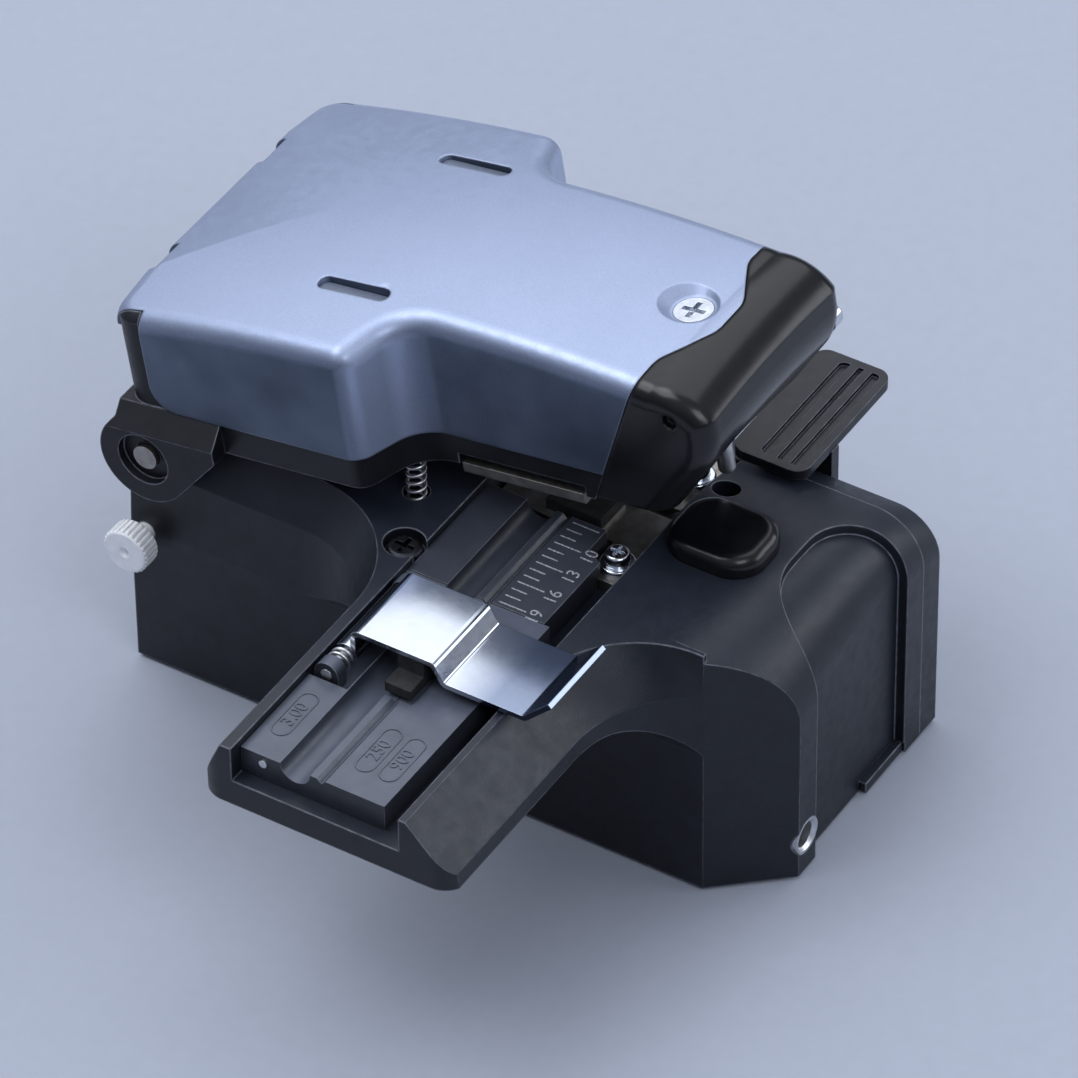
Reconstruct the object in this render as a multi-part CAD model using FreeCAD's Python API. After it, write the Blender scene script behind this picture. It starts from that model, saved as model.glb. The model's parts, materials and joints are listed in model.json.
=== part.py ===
"""Fibre cleaver: a bench tool that scores and snaps a glass fibre squarely.

Frame: origin on the ground, straight below the cleaving point. X runs along the
fibre (the holder arm points to -X), +Y runs back to the lid hinge, +Z is up.
The lid is modelled closed and then swung open about the hinge by LID_OPEN.
"""
import FreeCAD, Part
import math
import os

V = FreeCAD.Vector
X_AXIS = V(1, 0, 0)
Y_AXIS = V(0, 1, 0)
Z_AXIS = V(0, 0, 1)

# ---------------------------------------------------------------- clearances
RUN = 0.05            # radial running fit of pins, rods and screws
GAP = 0.3             # free gap between parts that move past each other
SEAM = 0.12           # shadow gap between two fixed covers
EPS = 0.5             # overshoot of cutting tools

# ---------------------------------------------------------------- housing
MAT_PROUD = 0.4       # the rubber mat stands this far below the housing
HOUSING_H = 27.2      # housing height above its own bottom
LEFT = 16.8           # cleave plane to the left wall
SEAM_X = 10.0         # cleave plane to the side cover's seam
COVER_T = 2.8         # side cover thickness
FRONT = 26.4          # fibre line to the front wall
REAR = 39.2           # fibre line to the rear wall
CORNER_X = 5.6        # slanted front corner, along X
CORNER_Y = 6.4        # slanted front corner, along Y
ROUND_LEFT = 10.5     # radius of the top front edge at its left end
ROUND_RIGHT = 5.0     # radius of the same edge at the seam
REAR_ROUND = 1.2      # radius of the top rear edge
CROWN_X = -1.8        # the top starts to curve down here
CROWN_R = 30.0        # radius of that curve

# ---------------------------------------------------------------- arm
ARM_REACH = 47.3      # cleave plane to the arm's tip
ARM_NEAR = 14.1       # fibre line to the arm's near side
ARM_FAR = 11.7        # fibre line to the arm's far side
ARM_T = 6.3           # arm thickness
TIP_R = 2.4           # plan radius of the tip corners
ARCH_R = 9.0          # arch from the arm's underside into the left wall
ARCH_FOOT = 15.6      # height of the arch's foot above the housing bottom
NEAR_FOOT_X = -29.0   # the near hollow starts here at its foot,
NEAR_MID_X = -27.5    # at the shoulder
NEAR_TOP_X = -26.8    # and at the top
FAR_X = -26.1         # centre of the far hollow
FAR_Y = 21.0
SHOULDER = 4.6        # the flank leans inwards over this height
FLANK_NEAR = 4.8      # lean of the near flank at the top
FLANK_FAR = 2.5       # lean of the far flank at the top
FLANK_STEP = 0.4      # lean of both flanks at the shoulder

# ---------------------------------------------------------------- fibre channel
CH_NEAR = 8.6         # fibre line to the channel's near wall
CH_FAR = 8.1          # fibre line to the channel's far wall
CH_DEPTH = 3.6
CH_END = 8.6          # the channel ends this far past the cleave plane

# ---------------------------------------------------------------- thumb recess
RECESS_X0 = -8.3
RECESS_X1 = 7.2
RECESS_BACK = 20.0    # fibre line to the back of the recess
RECESS_D = 1.0
RECESS_R = 6.0

# ---------------------------------------------------------------- bottom
PLATE_INSET = 1.5
PLATE_T = 1.5
MAT_T = 1.0
MAT_INSET = 3.5
TONGUE_W = 6.3        # small lip of the bottom plate at the front
TONGUE_X = 1.0
TONGUE_T = 1.1
TONGUE_OUT = 0.7

# ---------------------------------------------------------------- blade slide
FIBRE_Z = 26.9        # height of the fibre above the ground
BLADE_R = 8.0
BLADE_T = 0.8
BLADE_UNDER = 0.05    # the disc's rim runs this far below the fibre line
PARK_Y = -11.7        # disc centre at rest
TRAVEL = 24.0
BAY_X0 = -6.0         # bay for the blade slide
BAY_FRONT = 21.5
BAY_REAR = 30.0
BAY_TOP = 21.8
ROOF = 0.45           # skin left over the blade under the housing top
ROD_R = 1.25
ROD_X = 5.0
ROD_Z = (6.2, 12.2)
ROD_SEAT = 1.5
BUSH_R = 2.0
BUSH_L = 3.0
CARR_X0 = 1.3
CARR_X1 = 8.6
CARR_L = 13.0
CARR_Z0 = 3.8
CARR_Z1 = 21.0
AXLE_R = 1.5
AXLE_L = 3.5          # cleave plane to the axle's end
HUB_R = 4.2
HUB_T = 1.5

# ---------------------------------------------------------------- thumb tab
TAB_X0 = 8.2
TAB_L = 15.9
TAB_NEAR = 3.4        # carriage's middle to the tab's front edge
TAB_FAR = 4.1         # and to its rear edge
TAB_PLAIN = 2.6       # smooth strip along the rear edge
TAB_TOP = 27.3
TAB_T = 0.6           # plate under the ribs
TAB_RIB = 0.4         # height of rim and ribs
TAB_RIM = 0.8
TAB_RIBS = 2
TAB_R = 1.4
STEM_T = 1.2
STEM_L = 7.0
STEM_H = 3.0
STEM_Z = 17.0

# ---------------------------------------------------------------- hinge and lid
HINGE_Y = 35.8
HINGE_Z = 26.6
PIN_R = 1.2
BARREL_R = 3.2
EAR_R = 4.5
EAR_T = 1.9
EAR_GAP = 0.5
EAR_DISH_R = 2.6      # counterbore round the pin's end
EAR_DISH = 0.9
EAR_SLOPE = 45.0      # slope of the web in front of the ear
EAR_FALL = 1.9        # slanted top of the near ear
LID_OPEN = 8.5        # degrees, as the lid rests on its spring
LID_GAP = 0.5         # closed lid above the housing top
LID_WIDE = 36.1       # width of the lid over the hinge
LID_NARROW = 23.1     # width of the lid over the nose
LID_MID = 0.55        # the lid's middle, from the cleave plane
LID_REAR = 38.6
LID_WIDE_FRONT = 13.2
LID_STEP = 2.4        # slant of the shoulder between wide and narrow
FRAME_H = 3.2         # black frame below the painted cover
WALL = 1.3
DECK_T = 1.1
ROOF_REAR = 41.9      # roof height over the rear edge
ROOF_TOP = 43.9       # roof height at the crest
ROOF_CREST = 17.0     # fibre line to the crest
ROOF_NOSE = 42.2      # roof height where the nose starts
NOSE_Y = 13.5
NOSE_REACH = 19.0     # fibre line to the nose's foremost point
NOSE_BULGE = 37.8     # height of that point
NOSE_FOOT = 13.5      # the nose leans back to here at its bottom
NOSE_FLAT = 1.8       # the nose's face is upright over this height
BROW_IN = 1.5         # roof to nose: how far in and
BROW_DROP = 1.1       # how far down its bend passes
CHIN_IN = 1.2         # and the same below the nose's face
CHIN_DROP = 3.6
WAVE_IN = 2.2         # the seam's bulge, half width in front
WAVE_OUT = 7.6        # and at its foot
WAVE_R = 3.5
REAR_R = 3.0          # plan radii of the lid's rear corners,
SHOULDER_R = 2.1      # its shoulders
HOLLOW_R = 4.0        # and the hollows in front of them
FRAME_IN = 0.3        # the frame stands in from the cover
REAR_FALL = 25.0      # behind this the roof falls off in a tighter curve
REAR_LOW = 41.1       # to this height over the rear edge
REAR_SEAM = 35.0      # the cover's sides end here, in front of the frame's rear wall
REAR_SEAM_R = 2.5     # rounding of their lower rear corners
REAR_WALL = 2.4
REAR_SHEET = 1.1      # the roof runs on over the rear wall, this thick
REAR_SIDE = 1.3       # and this far in from the lid's sides
REAR_LIP = 2.4        # its rear edge hangs down this far
DECK_REACH = 12.6     # fibre line to the deck's front end
TONGUE_HALF = 6.0     # tongue of the nose cap under the cover
TONGUE_DROP = 0.4
ROOF_CROWN = 100.0    # radius of the roof across the lid
ROOF_EDGE = 2.0       # rounding of the cover's upper edge
SIDE_SEAM = 13.1      # seam between cover and nose cap at the sides
MID_SEAM = 15.9       # and in the middle
SEAM_SLANT = 5.4      # the seam runs back this far on its way down
SLOT_X = 9.85         # the roof's two slots, from the lid's middle
SLOT_Y0 = 13.3
SLOT_Y1 = 20.6
SLOT_W = 1.6
LID_SCREW_Y = -11.3
LID_SCREW_R = 1.8
DISH_R = 2.0          # round dish about the lid screw: radius of its floor
DISH_RIM = 2.7        # and of its rim
DISH_D = 0.6

# ---------------------------------------------------------------- fibre holder
HOLD_TIP = 45.8
HOLD_END = -19.6
HOLD_NEAR = 6.3
HOLD_T = 2.8
RULE_END = -6.4
RULE_NEAR = 5.7
RULE_STEP = -9.6      # its near edge steps in here to clear the clamp screw
STRIP_Y = 4.2         # the far strip starts here
GROOVE_R = 1.5        # 3 mm round bottomed groove
GROOVE_Y = 2.6
V_W = 0.9             # narrow V groove on the fibre line
V_D = 0.45
CLIP_X0 = -31.9
CLIP_W = 8.8
CLIP_T = 0.5
CLIP_TOP = 30.3
CLIP_LOW = 28.5
CLIP_HY = 6.5         # clip hinge
CLIP_HZ = 27.2
CLIP_PIN_R = 0.55
CLIP_BARREL = 1.15
CLIP_LEG_IN = 0.12    # the leg stands this far inside the eye's outline
CLIP_LEG_UP = 0.35    # and starts this far above the pin's axis
CLIP_WIRE = 0.18
CLIP_STEP = -2.4
CLIP_RUN = 1.1        # the step runs this far along the clip
CLIP_BEND = -11.3
CLIP_LIP = 2.5
CLIP_EAR = 1.3
CLIP_EAR_R = 1.2
CLIP_SPRING = 1.7     # room for the torsion spring beside the clip
PAD_W = 2.6           # rubber pad under the clip
PAD_FOOT = 1.9        # its foot reaches out past the clip
PAD_GAP = 0.2         # closed pads stay this far above the plate
DOWEL_R = 0.4         # small pin in the plate's end
DOWEL_Y = 5.8
DOWEL_DROP = 0.9
DOWEL_L = 2.5
DOWEL_OUT = 0.15

# ---------------------------------------------------------------- lower and upper clamps
BASE_T = 1.2          # steel plate under the lower pads
BASE_X0 = -5.8
BASE_X1 = 8.2
BASE_NEAR = 8.2
BASE_FAR = 7.7
PAD_TOP = 26.75
PAD_HALF_Y = 2.8
PAD_IN = 1.4          # cleave plane to the pads
PAD_OUT = 5.4
LUG_X = -10.6         # lug of the base plate that takes its screw
LUG_Y = -4.3
CLAMP_SCREW_IN = 1.7  # thread in the housing below the plate
CLAMP_SCREW_X = (-8.4, 5.0)
CLAMP_SCREW_Y = -6.3
COLLAR_H = 0.7        # collar under the clamp screw's head
COLLAR_HEAD_R = 1.15
COLLAR_HEAD_H = 1.1
UPPER_IN = 2.6        # cleave plane to the upper clamp's arms
UPPER_OUT = 9.1
UPPER_NEAR = 7.6
UPPER_FAR = 12.0
UPPER_Z = 27.9
UPPER_T = 1.0
UPPER_BRIDGE = 7.0
BAR_NEAR = -5.0       # bar along the clamp's left edge, below the frame
BAR_FAR = 7.4
BAR_Z = 27.1
BAR_H = 1.2
BAR_RISE = 0.6        # the clamp is pushed up this far by the fibre
GUIDE_R = 0.7
GUIDE_HEAD_R = 1.3
GUIDE_X = 6.0
GUIDE_Y = (-5.0, 9.5)
ANVIL_HALF = 1.2
ANVIL_Z = 27.25
ANVIL_Y = 2.2
HOLDER_Z = 28.2
HOLDER_H = 1.3
HOLDER_HALF = 1.9
HOLDER_Y = 4.2
STEM_R = 1.2
STEM_HEAD = 2.0

# ---------------------------------------------------------------- fasteners and small parts
SCREW_R = 0.9
SCREW_HEAD = 1.7
SCREW_HEAD_H = 0.8
SCREW_L = 4.5
INSERT_X = -9.8
INSERT_Z = 4.2
INSERT_R = 1.8
INSERT_BORE = 1.25
INSERT_MOUTH = 0.3    # chamfer of its bore
INSERT_L = 5.0
KNOB_Y = 37.6         # knurled thumb screw on the left wall
KNOB_Z = 15.7
KNOB_R = 2.3
KNOB_T = 2.2
KNOB_GAP = 1.3
KNOB_SHANK_R = 0.9
KNOB_SHANK_L = 7.0
KNOB_TEETH = 28
STRIKER_X = 3.4       # steel pin of the lid and its hole in the housing
STRIKER_Y = -10.2
STRIKER_R = 0.8
STRIKER_TIP = 22.4
STRIKER_HOLE_R = 1.3
STRIKER_SEAT = 2.6
SET_X = -17.5         # screw in a round counterbore beside the channel
SET_Y = 9.7
SET_R = 1.0
SET_L = 4.0
SET_BORE_R = 1.9
SET_BORE = 1.3
SPRING_X = -11.3      # lid spring
SPRING_Y = 12.4
SPRING_R = 0.8
SPRING_WIRE = 0.16
SPRING_PITCH = 0.9
SPRING_POCKET = 4.6
SPRING_BORE_R = 1.2
REST_X0 = -7.4        # pad that the closed nose comes down to
REST_X1 = 0.5
REST_Y0 = -18.7
REST_Y1 = -9.4
REST_H = 2.0
REST_EDGE = 1.2       # rounding of its upper edge
REST_R = 3.1
NOSE_LIFT = 0.6       # the nose ends above the frame's bottom
LOCK_Y = -15.4        # lock pin in the nose, closed lid
LOCK_Z = 32.9
LOCK_R = 0.8
LOCK_HEAD_R = 1.15
LOCK_HEAD = 1.5
LOCK_TRAVEL = 1.2
LOCK_BOSS = 2.2
LOCK_BOSS_L = 3.0
DIMPLE_Y = -15.4
DIMPLE_Z = 39.0
DIMPLE_R = 0.7
DIMPLE_D = 0.8
NOTCH_X = (-10.9, 6.2)
NOTCH_W = 3.8
NOTCH_D = 1.5
POST_R = 1.6


# ================================================================ small helpers
def block(x0, x1, y0, y1, z0, z1):
    """Box from its lowest corner to its highest."""
    return Part.makeBox(x1 - x0, y1 - y0, z1 - z0, V(x0, y0, z0))


def rod(radius, start, length, axis):
    return Part.makeCylinder(radius, length, start, axis)


def tube(outer, inner, start, length, axis):
    return rod(outer, start, length, axis).cut(rod(inner, start, length, axis))


def round_wire(points, radii):
    """Closed wire through the points, each corner rounded by its radius."""
    count = len(points)
    entry = []
    leave = []
    middle = []
    for i in range(count):
        here = points[i]
        back = (points[i - 1] - here).normalize()
        ahead = (points[(i + 1) % count] - here).normalize()
        radius = radii[i]
        half = back.getAngle(ahead) / 2
        reach = radius / math.tan(half) if radius > 0 else 0
        entry.append(here + back * reach)
        leave.append(here + ahead * reach)
        if radius > 0:
            inward = (back + ahead).normalize()
            middle.append(here + inward * (radius / math.sin(half) - radius))
        else:
            middle.append(None)
    edges = []
    for i in range(count):
        if middle[i] is not None:
            edges.append(Part.Arc(entry[i], middle[i], leave[i]).toShape())
        follow = entry[(i + 1) % count]
        if leave[i].distanceToPoint(follow) > 1e-6:
            edges.append(Part.LineSegment(leave[i], follow).toShape())
    return Part.Wire(edges)


def plan(points, radii, z0, z1):
    """Prism along Z over a rounded XY outline."""
    wire = round_wire([V(x, y, z0) for x, y in points], radii)
    return Part.Face(wire).extrude(V(0, 0, z1 - z0))


def side(points, radii, x0, x1):
    """Prism along X over a rounded YZ outline."""
    wire = round_wire([V(x0, y, z) for y, z in points], radii)
    return facing(wire, X_AXIS).extrude(V(x1 - x0, 0, 0))


def shrunk(wire, inset):
    """Flat wire moved inwards by inset, its edges made afresh."""
    if inset == 0:
        return wire
    moved = wire.makeOffset2D(-inset)
    fresh = [edge.Curve.toShape(edge.FirstParameter, edge.LastParameter) for edge in moved.Edges]
    return Part.Wire(Part.__sortEdges__(fresh))


def facing(wire, axis):
    """Face inside a flat wire, its normal turned to the axis."""
    face = Part.Face(wire)
    if face.normalAt(0, 0).dot(axis) < 0:
        face.reverse()
    return face


def rounded_plate(x0, x1, y0, y1, z0, z1, radius):
    corners = [(x0, y0), (x1, y0), (x1, y1), (x0, y1)]
    return plan(corners, [radius] * 4, z0, z1)


def countersunk(head_r, shank_r, length, head_h):
    """Countersunk screw along -Z, its flat head's top at the origin, cross recess cut."""
    head = Part.makeCone(shank_r, head_r, head_h, V(0, 0, -head_h))
    shank = rod(shank_r, V(0, 0, -length), length, Z_AXIS)
    screw = head.fuse(shank)
    return screw.cut(cross(head_r * 0.62, head_h * 0.6))


def pan_head(head_r, head_h, shank_r, length):
    """Pan head screw along -Z, seated at the origin."""
    head = rod(head_r, V(0, 0, 0), head_h, Z_AXIS)
    head = head.makeFillet(head_h * 0.45, [head.Edges[0]])
    shank = rod(shank_r, V(0, 0, -length), length + 0.2, Z_AXIS)
    recess = cross(head_r * 0.6, head_h * 0.6)
    recess.translate(V(0, 0, head_h))
    return head.fuse(shank).cut(recess)


def collar_screw(collar_r, collar_h, head_r, head_h, shank_r, length):
    """Screw along -Z whose narrow domed head stands on a wide collar, seated at the origin."""
    collar = rod(collar_r, V(0, 0, 0), collar_h, Z_AXIS)
    collar = collar.makeFillet(collar_h * 0.4, [collar.Edges[0]])
    head = rod(head_r, V(0, 0, collar_h - EPS / 2), head_h + EPS / 2, Z_AXIS)
    head = head.makeFillet(head_r * 0.35, [head.Edges[0]])
    shank = rod(shank_r, V(0, 0, -length), length + collar_h / 2, Z_AXIS)
    recess = cross(head_r * 0.6, head_h * 0.5)
    recess.translate(V(0, 0, collar_h + head_h))
    return one_solid(collar.fuse(head).fuse(shank).cut(recess))


def cross(reach, depth):
    """Cross recess below the origin plane."""
    half = reach * 0.22
    one = block(-reach, reach, -half, half, -depth, EPS)
    two = block(-half, half, -reach, reach, -depth, EPS)
    return one.fuse(two)


def coil(radius, wire_r, pitch, height, start, axis):
    """Open coil spring as a swept helix."""
    helix = Part.makeHelix(pitch, height, radius)
    ring = Part.Wire(Part.makeCircle(wire_r, V(radius, 0, 0), V(0, 1, 0)))
    solid = Part.Wire(helix).makePipeShell([ring], True, True)
    turn = FreeCAD.Rotation(Z_AXIS, axis)
    solid.Placement = FreeCAD.Placement(start, turn)
    return solid


def place(shape, at, axis=Z_AXIS):
    """Copy of a shape made along Z, set at a point and turned to an axis."""
    copy = shape.copy()
    copy.Placement = FreeCAD.Placement(at, FreeCAD.Rotation(Z_AXIS, axis))
    return copy


def group(shapes):
    """Several separate solids as one shape."""
    solids = []
    for shape in shapes:
        solids.extend(shape.Solids)
    return Part.makeCompound(solids)


def one_solid(shape):
    shape = shape.removeSplitter()
    return max(shape.Solids, key=lambda solid: solid.Volume)


nodes = {}


def write(name, shape):
    nodes[name] = shape


# ================================================================ worked out places
BOTTOM = MAT_PROUD
TOP = BOTTOM + HOUSING_H
COVER_X = SEAM_X + COVER_T
CH_FLOOR = TOP - CH_DEPTH
ARM_UNDER = TOP - ARM_T
ARCH_Z = BOTTOM + ARCH_FOOT
BLADE_Z = FIBRE_Z - BLADE_UNDER - BLADE_R
FRAME_Z = TOP + LID_GAP
FRAME_TOP = FRAME_Z + FRAME_H
DECK_Z = FRAME_TOP - DECK_T
HALF_WIDE = LID_WIDE / 2
HALF_NARROW = LID_NARROW / 2
HOLD_Z = CH_FLOOR + HOLD_T
HINGE = V(0, HINGE_Y, HINGE_Z)


def top_height(x):
    """Height of the housing top at x, where it curves down to the right."""
    if x <= CROWN_X:
        return TOP
    return TOP - CROWN_R + math.sqrt(CROWN_R ** 2 - (x - CROWN_X) ** 2)


def front_round(x):
    """Radius of the top front edge, which tightens to the right."""
    share = (x + LEFT) / (SEAM_X + LEFT)
    return ROUND_LEFT + (ROUND_RIGHT - ROUND_LEFT) * share


# ================================================================ housing
def body_section(x, inset=0.0):
    """Housing outline in the YZ plane at x, its front and top set in by inset."""
    y0 = -FRONT + inset
    top = top_height(x) - inset
    radius = front_round(x) - inset
    rear = REAR
    start = V(x, y0, BOTTOM)
    up = V(x, y0, top - radius)
    bend = V(x, y0 + radius * (1 - math.cos(math.pi / 4)), top - radius * (1 - math.sin(math.pi / 4)))
    over = V(x, y0 + radius, top)
    back = V(x, rear - REAR_ROUND, top)
    swing = REAR_ROUND * math.sin(math.pi / 4)
    corner = V(x, rear - REAR_ROUND + swing, top - REAR_ROUND + swing)
    down = V(x, rear, top - REAR_ROUND)
    foot = V(x, rear, BOTTOM)
    edges = [
        Part.LineSegment(start, up),
        Part.Arc(up, bend, over),
        Part.LineSegment(over, back),
        Part.Arc(back, corner, down),
        Part.LineSegment(down, foot),
        Part.LineSegment(foot, start),
    ]
    return Part.Wire([edge.toShape() for edge in edges])


def body_span(x0, x1, inset=0.0):
    """Housing volume between two places along X."""
    spans = []
    if x0 < CROWN_X:
        flat = Part.makeLoft([body_section(x0, inset), body_section(CROWN_X, inset)], True, True)
        spans.append(flat)
        x0 = CROWN_X
    steps = 4
    places = [x0 + (x1 - x0) * i / steps for i in range(steps + 1)]
    spans.append(Part.makeLoft([body_section(x, inset) for x in places], True, False))
    whole = spans[0]
    for span in spans[1:]:
        whole = whole.fuse(span)
    return whole


def flank_wire(z, start_x, near_lean, far_lean):
    """Plan outline of arm and body at one height, left open far out to the right."""
    outside = 90.0
    tip = -ARM_REACH - 2 * EPS
    corner = V(-LEFT, -FRONT + CORNER_Y, z)
    run = V(CORNER_X, -CORNER_Y, 0).normalize() * outside
    near_y = -ARM_NEAR + near_lean
    rise = near_y - corner.y
    across = corner.x - start_x
    near_r = (across ** 2 + rise ** 2) / (2 * rise)
    near_c = V(start_x, near_y - near_r, z)
    end_turn = math.atan2(corner.y - near_c.y, corner.x - near_c.x)
    half_turn = (end_turn + math.pi / 2) / 2
    near_mid = near_c + V(math.cos(half_turn), math.sin(half_turn), 0) * near_r
    far_y = ARM_FAR - far_lean
    far_r = FAR_Y - far_y
    far_c = V(FAR_X, FAR_Y, z)
    slope = far_r * math.sin(math.pi / 4)
    far_in = V(FAR_X + far_r, FAR_Y, z)
    far_out = V(FAR_X, far_y, z)
    near_in = V(start_x, near_y, z)
    points = [corner, corner + run, V(outside, -outside, z), V(outside, outside, z),
              V(far_in.x, outside, z), far_in]
    edges = [Part.LineSegment(V(tip, near_y, z), near_in), Part.Arc(near_in, near_mid, corner)]
    edges += [Part.LineSegment(a, b) for a, b in zip(points, points[1:])]
    edges.append(Part.Arc(far_in, far_c + V(slope, -slope, 0), far_out))
    edges.append(Part.LineSegment(far_out, V(tip, far_y, z)))
    edges.append(Part.LineSegment(V(tip, far_y, z), V(tip, near_y, z)))
    return Part.Wire([edge.toShape() for edge in edges])


def flank_envelope():
    """Space inside the leaning flanks, from the arch's foot to the top."""
    foot = flank_wire(ARCH_Z, NEAR_FOOT_X, 0, 0)
    shoulder = flank_wire(TOP - SHOULDER, NEAR_MID_X, FLANK_STEP, FLANK_STEP)
    top = flank_wire(TOP, NEAR_TOP_X, FLANK_NEAR, FLANK_FAR)
    lower = Part.makeLoft([foot, shoulder], True, True)
    upper = Part.makeLoft([shoulder, top], True, True)
    return lower.fuse(upper)


def arm_blank():
    """Arm, its two hollows against the body and the arch below, before the flanks lean."""
    tip = plan([(-ARM_REACH, -ARM_NEAR), (-LEFT + EPS, -ARM_NEAR),
                (-LEFT + EPS, ARM_FAR), (-ARM_REACH, ARM_FAR)], [TIP_R, 0, 0, TIP_R], ARCH_Z, TOP)
    root = block(NEAR_FOOT_X - EPS, -LEFT + EPS, -FRONT + CORNER_Y, FAR_Y, ARCH_Z, TOP)
    drop = ARM_UNDER - ARCH_Z
    run = math.sqrt(ARCH_R ** 2 - (ARCH_R - drop) ** 2)
    crest = V(-LEFT - run, 0, ARM_UNDER)
    turn = math.asin(run / ARCH_R) / 2
    middle = V(crest.x + ARCH_R * math.sin(turn), 0, ARM_UNDER - ARCH_R + ARCH_R * math.cos(turn))
    foot = V(-LEFT, 0, ARCH_Z)
    left = -ARM_REACH - EPS
    edges = [
        Part.Arc(crest, middle, foot),
        Part.LineSegment(foot, V(-LEFT, 0, ARCH_Z - EPS)),
        Part.LineSegment(V(-LEFT, 0, ARCH_Z - EPS), V(left, 0, ARCH_Z - EPS)),
        Part.LineSegment(V(left, 0, ARCH_Z - EPS), V(left, 0, ARM_UNDER)),
        Part.LineSegment(V(left, 0, ARM_UNDER), crest),
    ]
    face = Part.Face(Part.Wire([edge.toShape() for edge in edges]))
    face.translate(V(0, -2 * FRONT, 0))
    arch = face.extrude(V(0, 4 * FRONT, 0))
    return tip.fuse(root).cut(arch)


def front_corner(z0, z1):
    """Wedge that slants the front left corner."""
    x = -LEFT
    y = -FRONT
    points = [(x - EPS, y - EPS), (x + CORNER_X, y - EPS), (x + CORNER_X, y),
              (x, y + CORNER_Y), (x - EPS, y + CORNER_Y)]
    return plan(points, [0] * 5, z0, z1)


def thumb_recess():
    """Shallow scoop over the top front edge, as deep everywhere as RECESS_D."""
    reach = 2 * FRONT
    points = [(RECESS_X0, -reach), (RECESS_X1, -reach), (RECESS_X1, -RECESS_BACK), (RECESS_X0, -RECESS_BACK)]
    scoop = plan(points, [0, 0, RECESS_R, RECESS_R], BOTTOM - EPS, TOP + EPS)
    core = body_span(RECESS_X0 - 2 * EPS, RECESS_X1 + 2 * EPS, RECESS_D)
    return scoop.cut(core)


def blade_space(radius, half_t):
    """Space swept by the blade along its travel."""
    start = V(-half_t, PARK_Y, BLADE_Z)
    end = V(-half_t, PARK_Y + TRAVEL, BLADE_Z)
    ends = rod(radius, start, 2 * half_t, X_AXIS).fuse(rod(radius, end, 2 * half_t, X_AXIS))
    middle = block(-half_t, half_t, PARK_Y, PARK_Y + TRAVEL, BLADE_Z - radius, BLADE_Z + radius)
    return ends.fuse(middle)


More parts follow.
